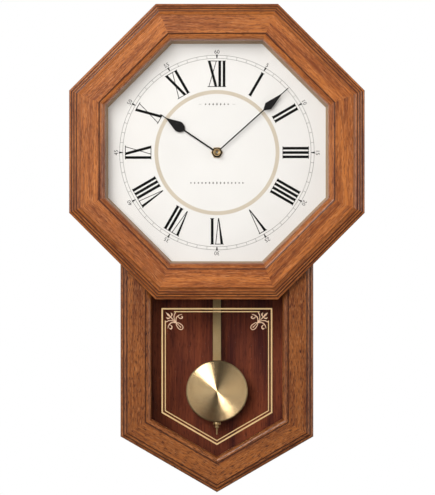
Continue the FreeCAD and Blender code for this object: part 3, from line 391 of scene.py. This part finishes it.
glass = clear_glass()
dress(glass, "door_glass")
dress(glass, "trunk_glass")
print("glass made")

# %% [markdown]
# ## Painted and moulded surfaces
#
# The dial is a metal sheet painted off-white. Paint is never perfectly flat: it
# has a slight orange-peel surface and a breath of warmer colour here and there.
# Plastics are the same idea with their own grain. One recipe serves them all,
# with the colour, the gloss and the size of the grain as its inputs.

# %% Paint and plastic
def coated(name, colour, drift, roughness, grain=1500.0, relief=0.12, gloss=0.5):
    f = Finish(name)
    fine = f.noise(f.place(), grain, 2.0)
    broad = f.noise(f.place(), 22.0, 3.0)
    tinted = f.mix((broad * 1.6 - 0.3).held(), colour, drift)
    return f.done(tinted, Roughness=roughness + fine * 0.10, Normal=f.bump(fine, relief, 0.00008),
                  Specular_IOR_Level=gloss)


dial_paint = coated("dial_paint", (0.79, 0.782, 0.768), (0.77, 0.76, 0.738), 0.42)
surround_paint = coated("surround_paint", (0.37, 0.25, 0.15), (0.33, 0.215, 0.12), 0.4)
black_lacquer = coated(
    "black_lacquer", (0.008, 0.008, 0.009), (0.014, 0.013, 0.013), 0.34, gloss=0.12)
housing_black = coated("housing_black", (0.018, 0.018, 0.02), (0.028, 0.028, 0.03), 0.5, 700.0, 0.5)
knob_white = coated("knob_white", (0.72, 0.71, 0.67), (0.66, 0.65, 0.60), 0.4, 900.0, 0.2)
dress(dial_paint, "dial_plate")
dress(surround_paint, "dial_surround")
dress(black_lacquer, "hour_hand", "minute_hand")
dress(housing_black, "movement_housing", "movement_cover", "speaker")
dress(knob_white, "setting_knob", "volume_knob", "melody_switch", "night_switch")
dress(knob_white, "hour_wheel", "motion_wheel")
print("paint and plastic dressed")

# %% [markdown]
# ## Metals
#
# Brushed metal has hair-fine scratches along one direction, and each scratch
# spreads its highlight across itself. Stretched noise in the roughness and a
# shallow bump do that. Broad noise darkens each metal a little in patches.

# %% Brushed metal
def brushed(name, bright, dull, roughness, stretch=(900, 900, 9), depth=0.10):
    f = Finish(name)
    place = f.place()
    hairs = f.noise(f.moved(place, scale=stretch), 1.0, 3.0, 0.6)
    stain = f.noise(place, 38.0, 4.0, 0.6)
    colour = f.mix((stain * 2.2 - 0.75).held(), bright, dull)
    return f.done(colour, Metallic=1.0, Roughness=roughness + hairs * 0.14,
                  Normal=f.bump(hairs, depth, 0.00006))


BRASS = (0.84, 0.62, 0.32)
BRASS_DULL = (0.70, 0.48, 0.22)
strip_brass = brushed("strip_brass", BRASS, BRASS_DULL, 0.42)
turned_brass = brushed("turned_brass", BRASS, BRASS_DULL, 0.27, (500, 500, 500), 0.05)
steel = brushed("zinc_steel", (0.62, 0.63, 0.64), (0.45, 0.45, 0.44), 0.32, (160, 160, 160))
copper = brushed("copper_wire", (0.78, 0.34, 0.18), (0.60, 0.22, 0.10), 0.3, (900, 900, 900))
dress(strip_brass, "pendulum_rod", "bush_nut", "centre_bush")
dress(turned_brass, "hinge_case_leaves", "hinge_door_leaves", "hinge_pins", "catch_plate")
dress(steel, "minute_arbor", "hanger_plate", "case_screws", "door_screws", "battery_contacts")
dress(knob_white, "pendulum_leader")
dress(steel, "pendulum_pivot")
dress(copper, "drive_coil")
print("metals dressed")

# %% [markdown]
# ## The works behind
#
# The rest is hidden from the front while the door is shut: the magnet of the
# catch, which is dark and granular, the dry cells in their printed jackets, and
# the green circuit board.
# A cell's jacket is two plain colours, so the height picks the colour.

# %% Magnet, cells and circuit board
def cell_jacket():
    f = Finish("cell_jacket")
    place = f.place()
    fine = f.noise(place, 1200.0)
    band = f.axis(place, "Z").over(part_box("batteries")[1].z - 14 * MM)
    colour = f.mix(band, (0.02, 0.02, 0.022), (0.55, 0.30, 0.10))
    return f.done(colour, Metallic=0.55, Roughness=0.3 + fine * 0.1, Normal=f.bump(fine, 0.08, 0.00005))


def circuit_green():
    f = Finish("circuit_green")
    place = f.place()
    cells = f.node("TexVoronoi", {"feature": "DISTANCE_TO_EDGE"}, {"Vector": place, "Scale": 260.0})
    tracks = 1.0 - (cells * 14.0).held()
    colour = f.mix(tracks, (0.012, 0.11, 0.045), (0.03, 0.20, 0.075))
    return f.done(colour, Roughness=0.35 + tracks * 0.2, Normal=f.bump(tracks, 0.2, 0.00008), Coat_Weight=0.3)


dress(coated("magnet_black", (0.03, 0.028, 0.027), (0.05, 0.045, 0.042), 0.6, 500.0, 0.6), "catch_magnet")
dress(cell_jacket(), "batteries")
dress(circuit_green(), "circuit_board")
print("works dressed")

# %% [markdown]
# ## From a bmesh to a piece
#
# A new piece is shaped in a bmesh and then handed over here: doubles are merged,
# the faces are turned outwards, curved faces are smoothed while sharp edges stay
# sharp, and the piece is tied to the body it moves with. Its object stays at the
# origin, because its place is in its mesh.

# %% Hand over a finished shape
WELD = 1e-6
SHARP = math.radians(32)


def piece(name, shape, material, body, slot, *stands_for):
    bmesh.ops.remove_doubles(shape, verts=shape.verts, dist=WELD)
    bmesh.ops.recalc_face_normals(shape, faces=shape.faces)
    mesh = bpy.data.meshes.new(name)
    shape.to_mesh(mesh)
    shape.free()
    mesh.shade_smooth()
    mesh.set_sharp_from_angle(angle=SHARP)
    mesh.materials.append(material)
    made = bpy.data.objects.new(name, mesh)
    bpy.context.scene.collection.objects.link(made)
    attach(made, body)
    if stands_for:
        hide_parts(*stands_for)
    print(name, "faces:", len(mesh.polygons))


# %% [markdown]
# ## Turned parts
#
# Anything that is turned on a lathe is a line of points, radius and height, spun
# round an axis. spin makes the skin, and merging at the end of a full turn closes
# the seam. Points on the axis become the poles, which are merged into one.

# %% Spin an outline
def spun(shape, outline, axis, centre, steps=96):
    """outline is (radius, height) pairs. Height runs along the axis."""
    axis = Vector(axis)
    side = Vector((1, 0, 0))
    points = [shape.verts.new(centre + side * r + axis * h) for r, h in outline]
    edges = [shape.edges.new(pair) for pair in zip(points, points[1:])]
    bmesh.ops.spin(
        shape, geom=points + edges, cent=centre, axis=axis, angle=math.tau,
        steps=steps, use_merge=True)
    bmesh.ops.remove_doubles(shape, verts=shape.verts, dist=WELD)


def bar(shape, start, end, width, low, high):
    """A flat bar of ink or metal from start to end, in the plane of the dial."""
    run = Vector((end[0] - start[0], 0, end[1] - start[1]))
    across = run.cross(Vector((0, 1, 0))).normalized()
    centre = Vector(((start[0] + end[0]) / 2, (low + high) / 2, (start[1] + end[1]) / 2))
    matrix = Matrix.Identity(4)
    for row in range(3):
        matrix[row][0] = run[row]
        matrix[row][1] = (0, high - low, 0)[row]
        matrix[row][2] = across[row] * width
        matrix[row][3] = centre[row]
    bmesh.ops.create_cube(shape, size=1.0, matrix=matrix)


print("lathe and bar ready")

# %% [markdown]
# ## The bob
#
# A pendulum bob is a brass disc spun over a former. The tool leaves a fine groove
# that runs round and round, and every groove throws light sideways, which is why
# such a disc shows bright and dark wedges that meet at its centre. The grooves
# are really there in this mesh, as a zigzag in the outline that is spun.

# %% Spin the bob and add the bridge behind it
bob_low, bob_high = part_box("bob")
bob_centre = Vector((0, 0, (bob_low.z + bob_high.z) / 2))
bob_radius = (bob_high.x - bob_low.x) / 2
bob_front = bob_low.y
BOB_THICKNESS = 5.2 * MM
bob_back = bob_front + BOB_THICKNESS
GROOVES = 47
GROOVE_DEPTH = 0.145 * MM
DOME = 1.5 * MM
LIP = 1.3 * MM
CHEEK = 6.3 * MM
CHEEK_WIDTH = 1.2 * MM
BRIDGE_HEIGHT = 10 * MM
BRIDGE_THICKNESS = 1.1 * MM


def bob_outline():
    face = bob_radius - LIP
    outline = [(0.0, -bob_front)]
    steps = 2 * GROOVES
    for number in range(1, steps):
        radius = face * number / steps
        height = -bob_front - DOME * (radius / bob_radius) ** 2
        outline.append((radius, height - (GROOVE_DEPTH if number % 2 else 0.0)))
    rim = -bob_front - DOME
    outline += [
        (face, rim), (bob_radius - 0.5 * MM, rim - 0.15 * MM), (bob_radius - 0.1 * MM, rim - 0.6 * MM),
        (bob_radius, rim - 1.2 * MM), (bob_radius - 0.1 * MM, rim - 2.2 * MM),
        (bob_radius - 0.6 * MM, -bob_back), (0.0, -bob_back)]
    return outline


shape = bmesh.new()
spun(shape, bob_outline(), (0, -1, 0), bob_centre, 160)
for side in (-1, 1):
    foot = (side * CHEEK, bob_centre.z - BRIDGE_HEIGHT / 2)
    head = (side * CHEEK, bob_centre.z + BRIDGE_HEIGHT / 2)
    bar(shape, foot, head, CHEEK_WIDTH, bob_back, bob_high.y)
bridge_end = CHEEK + CHEEK_WIDTH / 2
bar(shape, (-bridge_end, bob_centre.z), (bridge_end, bob_centre.z), BRIDGE_HEIGHT,
    bob_high.y - BRIDGE_THICKNESS, bob_high.y)
spun_brass = brushed("spun_brass", (0.90, 0.65, 0.35), (0.84, 0.57, 0.28), 0.12, (300, 300, 300), 0.0)
piece("bob_disc", shape, spun_brass, "bob", "brass", "bob")
print("bob radius:", bob_radius, "face at y =", bob_front)

# %% [markdown]
# ## The rating nut
#
# The clock is regulated by the knurled nut under the bob. It is two tiers of
# turned brass, and the knurl is a ring of small upright ridges that a thumb can
# grip. Every second face of the rim is inset and pushed in, and the faces left
# between them are the ridges.

# %% Turn the nut and knurl it
nut_low, nut_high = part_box("rating_nut")
nut_centre = Vector((0, (nut_low.y + nut_high.y) / 2, nut_low.z))
nut_radius = (nut_high.x - nut_low.x) / 2
nut_height = nut_high.z - nut_low.z
NUT_BORE = 1.65 * MM
KNURL_EDGE = 0.12 * MM
KNURL_DEPTH = 0.22 * MM
shape = bmesh.new()
spun(shape, [
    (NUT_BORE, 0.0), (nut_radius * 0.80, 0.0), (nut_radius * 0.88, 0.4 * MM),
    (nut_radius * 0.88, nut_height * 0.36), (nut_radius * 0.60, nut_height * 0.40),
    (nut_radius * 0.60, nut_height * 0.50), (nut_radius * 0.94, nut_height * 0.54),
    (nut_radius, nut_height * 0.58), (nut_radius, nut_height * 0.92),
    (nut_radius * 0.93, nut_height), (NUT_BORE, nut_height), (NUT_BORE, 0.0)],
    (0, 0, 1), nut_centre, 56)
rim = [
    face for face in shape.faces
    if abs(face.normal.z) < 0.1 and (face.calc_center_median() - nut_centre).xy.length > nut_radius * 0.97]
rim.sort(key=lambda face: math.atan2(*(face.calc_center_median() - nut_centre).yx))
knurl = bmesh.ops.inset_individual(shape, faces=rim[::2], thickness=KNURL_EDGE, depth=-KNURL_DEPTH)
piece("thumb_nut", shape, turned_brass, "rating_nut", "brass", "rating_nut")
print("knurls:", len(knurl["faces"]))

# %% [markdown]
# ## The nut that holds the hands
#
# A small domed brass nut holds the minute hand. It is drilled through, so its
# face shows a bright ring with the dark end of the arbor inside it.

# %% Turn the hand nut
hub_low, hub_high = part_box("hand_nut")
hub_radius = (hub_high.x - hub_low.x) / 2
hub_centre = Vector((0, 0, arbor.z))
shape = bmesh.new()
spun(shape, [
    (1.7 * MM, -hub_high.y), (hub_radius - 0.3 * MM, -hub_high.y), (hub_radius, -hub_high.y + 0.3 * MM),
    (hub_radius, -hub_high.y + 1.9 * MM), (hub_radius - 0.25 * MM, -hub_high.y + 2.5 * MM),
    (hub_radius - 0.9 * MM, -hub_high.y + 3.4 * MM), (hub_radius - 1.9 * MM, -hub_high.y + 4.1 * MM),
    (2.4 * MM, -hub_low.y), (1.9 * MM, -hub_low.y - 0.1 * MM), (1.6 * MM, -hub_low.y - 0.5 * MM),
    (1.6 * MM, -hub_high.y + 2.7 * MM), (1.7 * MM, -hub_high.y)], (0, -1, 0), hub_centre, 48)
piece("hub_nut", shape, turned_brass, "minute_work", "brass", "hand_nut")
print("hub radius:", hub_radius)

# %% [markdown]
# ## Ink on the dial
#
# The dial is printed. Ink has almost no thickness, but a real one, so each mark
# is a solid bar a twentieth of a millimetre thick that sits on the painted sheet.
# The minute track is two thin rings with a short line at every minute between
# them, and a ring is a small rectangle spun once round the arbor.

# %% Print the minute track
INK = 0.05 * MM
ink_low = dial_front - INK
ink_high = dial_front
TRACK_IN = 128.9 * MM
TRACK_OUT = 133.2 * MM
TRACK_LINE = 0.5 * MM


def ring(shape, inner, outer, steps=240):
    section = [
        (inner, -ink_high), (outer, -ink_high), (outer, -ink_low), (inner, -ink_low), (inner, -ink_high)]
    spun(shape, section, (0, -1, 0), Vector((0, 0, arbor.z)), steps)


def on_dial(clock, right, out):
    """A place on the dial: degrees clockwise from the top, right along the rim, out from the arbor."""
    a = math.radians(clock)
    return (out * math.sin(a) + right * math.cos(a), arbor.z + out * math.cos(a) - right * math.sin(a))


def print_ink(name, colour, second, roughness=0.55):
    return coated(name, colour, second, roughness, 2400.0, 0.06, 0.08)


ink_black = print_ink("ink_black", (0.005, 0.005, 0.005), (0.009, 0.008, 0.008))
ink_grey = print_ink("ink_grey", (0.16, 0.155, 0.15), (0.20, 0.195, 0.185))
shape = bmesh.new()
ring(shape, TRACK_IN - TRACK_LINE, TRACK_IN)
ring(shape, TRACK_OUT - TRACK_LINE, TRACK_OUT)
for minute in range(60):
    if minute % 5:
        bar(shape, on_dial(minute * 6, 0, TRACK_IN), on_dial(minute * 6, 0, TRACK_OUT - TRACK_LINE),
            TRACK_LINE, ink_low, ink_high)
piece("minute_track", shape, ink_grey, "case", "black_paint")

# %% [markdown]
# ## Five-minute drops and the beige ring
#
# At every fifth minute the track carries a black drop, thin towards the arbor and
# wide at its outer end. A blunt cone of few sides, pressed flat, is that shape.
# A broad beige ring runs inside the numerals.

# %% Print the drops and the ring
DROP_FOOT = 0.4 * MM
DROP_HEAD = 1.4 * MM
RING_IN = 80.2 * MM
RING_OUT = 85.4 * MM
shape = bmesh.new()
for hour in range(12):
    x, z = on_dial(hour * 30, 0, (TRACK_IN + TRACK_OUT) / 2)
    lying = Matrix.Translation((x, (ink_low + ink_high) / 2, z))
    lying @= Matrix.Rotation(math.radians(hour * 30), 4, "Y")
    flat = Matrix.Diagonal((1, INK / (2 * DROP_HEAD), 1, 1))
    bmesh.ops.create_cone(
        shape, cap_ends=True, segments=12, radius1=DROP_FOOT, radius2=DROP_HEAD,
        depth=TRACK_OUT - TRACK_IN + DROP_HEAD, matrix=lying @ flat)
piece("five_minute_drops", shape, ink_black, "case", "black_paint")

ink_gold = print_ink("ink_gold", (0.53, 0.465, 0.37), (0.62, 0.55, 0.45), 0.4)
shape = bmesh.new()
ring(shape, RING_IN, RING_OUT)
piece("gold_ring", shape, ink_gold, "case", "brass")

# %% [markdown]
# ## Roman numerals
#
# The hours are Roman numerals with heavy and fine strokes, all standing with
# their feet towards the arbor, and four is written with four strokes. Each letter
# is a few bars: a heavy one, a fine one, and hairline feet at its ends. The slant
# bars are cut level, as printed letters are, so their width is taken sideways, and
# the heavy bar of a V narrows to its foot, where it meets the fine one.

# %% Build the letters from bars
FOOT = 89.6 * MM
HEAD = 125.6 * MM
HEAVY = 3.7 * MM
FINE = 1.0 * MM
ADVANCE = {"I": 5.9 * MM, "V": 12.8 * MM, "X": 13.6 * MM}
I_SERIF = 5.2 * MM
V_SERIF = 12.4 * MM
X_SERIF = 13.6 * MM
V_TAPER = 0.3
HOURS = ("XII", "I", "II", "III", "IIII", "V", "VI", "VII", "VIII", "IX", "X", "XI")


def stroke(shape, clock, foot, head, width, taper=1.0):
    """A bar from a place along the rim at the feet to one at the heads. taper narrows its foot."""
    a = math.radians(clock)
    start = on_dial(clock, foot, FOOT)
    end = on_dial(clock, head, HEAD)
    run = Vector((end[0] - start[0], 0, end[1] - start[1]))
    right = Vector((math.cos(a), 0, -math.sin(a)))
    matrix = Matrix.Identity(4)
    for row in range(3):
        matrix[row][0] = right[row] * width
        matrix[row][1] = (0, INK, 0)[row]
        matrix[row][2] = run[row]
        matrix[row][3] = ((start[0] + end[0]) / 2, (ink_low + ink_high) / 2, (start[1] + end[1]) / 2)[row]
    made = bmesh.ops.create_cube(shape, size=1.0, matrix=matrix)["verts"]
    foot_place = Vector((start[0], 0, start[1]))
    low = [v for v in made if (v.co - foot_place).dot(run) < run.length_squared / 2]
    bmesh.ops.scale(shape, vec=(taper, 1, taper), space=Matrix.Translation(-foot_place), verts=low)


def serif(shape, clock, place, width, level):
    out = FOOT + FINE / 2 if level == "foot" else HEAD - FINE / 2
    left = on_dial(clock, place - width / 2, out)
    right = on_dial(clock, place + width / 2, out)
    bar(shape, left, right, FINE, ink_low, ink_high)


def letter(shape, sign, clock, centre):
    if sign == "I":
        stroke(shape, clock, centre, centre, HEAVY)
        serif(shape, clock, centre, I_SERIF, "foot")
        serif(shape, clock, centre, I_SERIF, "head")
    if sign == "V":
        stroke(shape, clock, centre + 0.5 * MM, centre - 3.9 * MM, HEAVY, V_TAPER)
        stroke(shape, clock, centre + 0.9 * MM, centre + 4.6 * MM, FINE)
        serif(shape, clock, centre - 0.3 * MM, V_SERIF, "head")
    if sign == "X":
        stroke(shape, clock, centre + 4.8 * MM, centre - 4.8 * MM, HEAVY)
        stroke(shape, clock, centre - 5.2 * MM, centre + 5.2 * MM, FINE)
        serif(shape, clock, centre, X_SERIF, "head")
        serif(shape, clock, centre, X_SERIF, "foot")


shape = bmesh.new()
for hour, word in enumerate(HOURS):
    pen = -sum(ADVANCE[sign] for sign in word) / 2
    for sign in word:
        letter(shape, sign, hour * 30, pen + ADVANCE[sign] / 2)
        pen += ADVANCE[sign]
piece("roman_numerals", shape, ink_black, "case", "black_paint")

# %% [markdown]
# ## Minute figures
#
# Outside the track small figures count the minutes in fives, from 5 to 60. They
# are text, which Blender fills and thickens as a flat curve. Each word is made a
# mesh first and only then turned and moved, so the piece itself stays unturned.

# %% Set the small figures
FIGURE_MIDDLE = 137.4 * MM
FIGURE_SIZE = 7.6 * MM


def words(shape, text, size, matrix, thickness):
    """Adds text, standing in the plane of the dial, to a shape."""
    curve = bpy.data.curves.new("figure", "FONT")
    curve.body = text
    curve.size = size
    curve.align_x = "CENTER"
    curve.align_y = "CENTER"
    curve.extrude = thickness / 2
    curve.resolution_u = 2
    holder = bpy.data.objects.new("figure", curve)
    bpy.context.scene.collection.objects.link(holder)
    bpy.context.view_layer.update()
    mesh = bpy.data.meshes.new_from_object(holder)
    mesh.transform(matrix)
    shape.from_mesh(mesh)
    bpy.data.objects.remove(holder)
    bpy.data.meshes.remove(mesh)
    bpy.data.curves.remove(curve)


shape = bmesh.new()
upright = Matrix.Rotation(math.radians(90), 4, "X")
for hour in range(12):
    x, z = on_dial(hour * 30, 0, FIGURE_MIDDLE)
    turned_to = Matrix.Translation((x, (ink_low + ink_high) / 2, z))
    turned_to @= Matrix.Rotation(math.radians(hour * 30), 4, "Y")
    words(shape, str(hour * 5 or 60), FIGURE_SIZE, turned_to @ upright, INK)
piece("minute_figures", shape, ink_black, "case", "black_paint")

# %% [markdown]
# ## Two small plain marks
#
# A dial like this carries words above and below the arbor. Here two plain rows of
# lozenges, the upper one with a dash at each end, fill the same places.

# %% Print the ornaments
LOZENGE = 3.0 * MM
UPPER_ROW = 66 * MM
LOWER_ROW = -41.5 * MM


def lozenge_row(shape, height, half, count):
    step = 2 * half / count
    for number in range(count):
        x = -half + step * (number + 0.5)
        lying = Matrix.Translation((x, (ink_low + ink_high) / 2, arbor.z + height))
        tall = 1.0 - 0.45 * abs(x) / half
        lying @= Matrix.Diagonal((0.34 * step, INK, LOZENGE * tall, 1))
        lying @= Matrix.Rotation(math.radians(45), 4, "Y")
        bmesh.ops.create_cube(shape, size=1.0, matrix=lying)


shape = bmesh.new()
lozenge_row(shape, UPPER_ROW, 18 * MM, 7)
lozenge_row(shape, LOWER_ROW, 38 * MM, 15)
dash_height = arbor.z + UPPER_ROW
for side in (-1, 1):
    bar(shape, (side * 21 * MM, dash_height), (side * 25 * MM, dash_height), 0.35 * MM, ink_low, ink_high)
piece("dial_ornaments", shape, ink_grey, "case", "black_paint")

# %% [markdown]
# ## Gold lines on the lower glass
#
# The lower pane is printed on its back with a five-sided border in gold. An
# outline of five corners becomes a face, inset turns it into a frame of even
# width, and the middle is then taken out. The inner line stops short of the top
# corners to leave room for the spray, so the frame is cut there and opened.

# %% Print the border
GOLD = 0.05 * MM
gold_low = glass_back
gold_high = glass_back + GOLD


def border(shape, half, top, corner, tip, width, gap=None):
    """A five-sided line: half its width, then the heights of its top, lower corners and tip.

    gap is where the top corners are cut away: this far out from the middle, this far down."""
    places = [(-half, top), (half, top), (half, corner), (0.0, tip), (-half, corner)]
    start = set(shape.faces)
    face = shape.faces.new([shape.verts.new((x, gold_low, z)) for x, z in places])
    face.normal_update()
    bmesh.ops.inset_region(shape, faces=[face], thickness=width, use_even_offset=True, use_boundary=True)
    shape.faces.remove(face)
    line = [f for f in shape.faces if f not in start]
    if gap is not None:
        across, down = gap
        cuts = ((-across, (1, 0, 0), 0), (across, (1, 0, 0), 0), (0, (0, 0, 1), top - down))
        for side, normal, cut in cuts:
            geometry = [g for f in line for g in (f, *f.edges, *f.verts)]
            bmesh.ops.bisect_plane(
                shape, geom=list(set(geometry)), plane_co=(side, 0, cut), plane_no=normal, dist=1e-7)
            line = [f for f in shape.faces if f not in start]
        gone = [
            f for f in line
            if abs(f.calc_center_median().x) > across and f.calc_center_median().z > top - down]
        bmesh.ops.delete(shape, geom=gone, context="FACES")
        line = [f for f in shape.faces if f not in start]
    thick = bmesh.ops.extrude_face_region(shape, geom=line)
    moved = [v for v in thick["geom"] if isinstance(v, bmesh.types.BMVert)]
    bmesh.ops.translate(shape, verts=moved, vec=(0, GOLD, 0))


BORDER_HALF = 75.7 * MM
TOP = -352.4 * MM
OUTER_LINE = 2.0 * MM
INNER_LINE = 1.3 * MM
CORNER_GAP = (58.5 * MM, 12.8 * MM)
shape = bmesh.new()
border(shape, BORDER_HALF, TOP, -495.6 * MM, -539.6 * MM, OUTER_LINE)
border(shape, 71.2 * MM, -356.7 * MM, -493.0 * MM, -534.4 * MM, INNER_LINE, CORNER_GAP)


def gold_print(name, colour, dull):
    f = Finish(name)
    fine = f.noise(f.place(), 1800.0, 2.0)
    worn = f.noise(f.place(), 60.0, 3.0)
    tint = f.mix((worn * 1.8 - 0.5).held(), colour, dull)
    return f.done(tint, Metallic=0.35, Roughness=0.38 + fine * 0.12, Normal=f.bump(fine, 0.08, 0.00004))


gold = gold_print("gold_print", (0.86, 0.60, 0.30), (0.78, 0.52, 0.25))
piece("gold_border", shape, gold, "case", "brass")

# %% [markdown]
# ## Corner sprays
#
# In each top corner of the border stands a small spray: a three-petalled bud that
# points into the corner, curling stems on both sides of it, and on the far side an
# oval loop round a drop.
# All of them are brush strokes, thin at the ends and full in the middle. A curve
# with a round bevel and a radius at each point is such a stroke, and pressing it
# flat after it has become a mesh leaves the printed shape.

# %% Draw one stroke, then the spray from strokes
def brush(shape, points, radii, place, cyclic=False):
    curve = bpy.data.curves.new("stroke", "CURVE")
    curve.dimensions = "3D"
    curve.bevel_depth = MM
    curve.bevel_resolution = 1
    curve.resolution_u = 5
    curve.use_fill_caps = True
    line = curve.splines.new("BEZIER")
    line.bezier_points.add(len(points) - 1)
    line.use_cyclic_u = cyclic
    for point, (right, down), radius in zip(line.bezier_points, points, radii):
        point.co = (right * MM, 0, -down * MM)
        point.radius = radius
        point.handle_left_type = "AUTO"
        point.handle_right_type = "AUTO"
    holder = bpy.data.objects.new("stroke", curve)
    bpy.context.scene.collection.objects.link(holder)
    bpy.context.view_layer.update()
    mesh = bpy.data.meshes.new_from_object(holder)
    mesh.transform(place)
    shape.from_mesh(mesh)
    bpy.data.objects.remove(holder)
    bpy.data.meshes.remove(mesh)
    bpy.data.curves.remove(curve)


def spray(shape, place):
    """The spray, in millimetres right of its corner and down from it. Its two halves mirror."""
    brush(shape, [(16.5, 16.5), (12.0, 12.0), (9.0, 9.0), (6.0, 6.0)], [0.5, 0.9, 1.5, 0.15], place)
    brush(shape, [(24.5, 24.5), (20.0, 20.0), (16.0, 16.0)], [0.4, 0.6, 0.5], place)
    for swap in (False, True):
        def at(*points):
            return [(down, right) if swap else (right, down) for right, down in points]
        brush(shape, at((13.0, 12.0), (14.2, 8.6), (12.6, 6.2)), [0.4, 1.2, 0.15], place)
        brush(shape, at((20.5, 19.5), (17.5, 15.0), (17.3, 10.0), (18.8, 5.8), (18.0, 4.6)),
              [0.5, 0.6, 0.6, 0.8, 0.5], place)
        brush(shape, at((20.0, 18.5), (20.2, 13.5), (23.5, 10.0), (28.0, 8.6)), [0.4, 0.8, 0.7, 0.3], place)
        brush(shape, at((22.3, 11.0), (25.5, 14.2), (28.6, 12.8), (27.3, 10.9)), [0.3, 0.8, 0.9, 0.5], place)
    brush(shape, [(20.6, 20.6), (25.6, 21.6), (29.4, 26.0), (28.6, 28.6), (26.0, 29.4), (21.6, 25.6)],
          [0.5, 0.6, 0.6, 0.6, 0.6, 0.6], place, cyclic=True)
    brush(shape, [(23.4, 23.4), (26.6, 26.6)], [0.3, 0.9], place)


shape = bmesh.new()
for side in (-1, 1):
    corner = Matrix.Translation((side * BORDER_HALF, (gold_low + gold_high) / 2, TOP))
    spray(shape, corner @ Matrix.Diagonal((-side, GOLD / (4 * MM), 1, 1)))
gold_rose = gold_print("gold_rose", (0.92, 0.62, 0.42), (0.84, 0.55, 0.36))
piece("corner_sprays", shape, gold_rose, "case", "brass")

# %% [markdown]
# ## The room: floor, background and light
#
# The clock hangs well clear of the floor. Most of the light comes from the lamps,
# and the world adds a weak light that is brighter at the sides than in front. The
# world shows plain white to the camera only, so the background is clean and the
# clock isn't lit too flatly.

# %% Floor and world
DROP = 1.3


def floor():
    shape = bmesh.new()
    bmesh.ops.create_circle(shape, cap_ends=True, segments=96, radius=3.0)
    bmesh.ops.translate(shape, verts=shape.verts, vec=(0, 0, cad_low.z - DROP))
    mesh = bpy.data.meshes.new("floor")
    shape.to_mesh(mesh)
    shape.free()
    made = bpy.data.objects.new("floor", mesh)
    bpy.context.scene.collection.objects.link(made)
    f = Finish("floor_paint")
    mottle = f.noise(f.place(), 6.0, 4.0)
    mesh.materials.append(f.done(f.mix(mottle, (0.78, 0.78, 0.77), (0.84, 0.84, 0.83)), Roughness=0.8))
    made.visible_glossy = False


def studio_world():
    world = bpy.data.worlds.new("studio")
    bpy.context.scene.world = world
    f = Finish(world)
    ways = f.node("TexCoord", out="Generated")
    sideways = ((abs(f.axis(ways, "X")) - 0.14) / 0.26).held()
    height = f.axis(ways, "Z")
    level = (1.0 - abs(height) * 1.3).held() * (1.0 + height * 2.2).most(0.0)
    strength = 0.07 + sideways * level * 0.75
    seen = f.node("LightPath", out="Is Camera Ray")
    lit = f.node("Background", values={"Color": (1.0, 0.985, 0.965, 1.0), "Strength": strength})
    plain = f.node("Background", values={"Color": (1.0, 1.0, 1.0, 1.0), "Strength": 1.0})
    f.node("OutputWorld", values={0: f.node("MixShader", values={0: seen, 1: lit, 2: plain})})


floor()
studio_world()
print("floor at z =", cad_low.z - DROP)

# %% [markdown]
# ## Lamps
#
# A lamp is placed by the way its light comes from: so many degrees to the left of
# straight ahead and so many above. Area lamps give the soft-edged shadows that a
# softbox gives, and the bigger the lamp the softer the edge. The key lamp is nearly
# in front, the edge lamp is further left and higher, and a weak one fills the right.
# The key lamp is kept out of reflections, where it would show as a white disc.

# %% Hang the lamps
LAMP_DISTANCE = 2.6
target = (cad_low + cad_high) / 2


def lamp(name, left, above, size, power):
    a, e = math.radians(left), math.radians(above)
    way = Vector((-math.sin(a) * math.cos(e), -math.cos(a) * math.cos(e), math.sin(e)))
    light = bpy.data.lights.new(name, "AREA")
    light.shape = "DISK"
    light.size = size
    light.energy = power
    light.color = (1.0, 0.985, 0.96)
    made = bpy.data.objects.new(name, light)
    bpy.context.scene.collection.objects.link(made)
    made.location = target + way * LAMP_DISTANCE
    made.rotation_mode = "QUATERNION"
    made.rotation_quaternion = (-way).to_track_quat("-Z", "Y")
    return made


lamp("key", 11, 9, 1.3, 50).visible_glossy = False
lamp("edge", 24, 27, 1.1, 27)
lamp("fill", -72, 4, 1.2, 9)
print("lamps hung")

# %% [markdown]
# ## The camera
#
# The clock is seen square on, from about half way up it and from far enough that
# its sides hardly show. With the picture taller than it
# is wide, the sensor's size is that of the long side, so the lens follows from
# the distance and from how much of the front plane the picture is to show.

# %% Set the camera
SHOWN = 0.666
DISTANCE = 2.6
ASIDE = 0.8 * MM
EYE_HEIGHT = -269.7 * MM
camera_data = bpy.data.cameras.new("camera")
camera_data.sensor_width = 36.0
camera_data.lens = camera_data.sensor_width * DISTANCE / SHOWN
camera = bpy.data.objects.new("camera", camera_data)
bpy.context.scene.collection.objects.link(camera)
camera.location = (ASIDE, cad_low.y - DISTANCE, EYE_HEIGHT)
camera.rotation_euler = (math.radians(90), 0, 0)
bpy.context.scene.camera = camera
bpy.context.scene.view_settings.view_transform = "Standard"
print("lens:", round(camera_data.lens, 1), "mm")
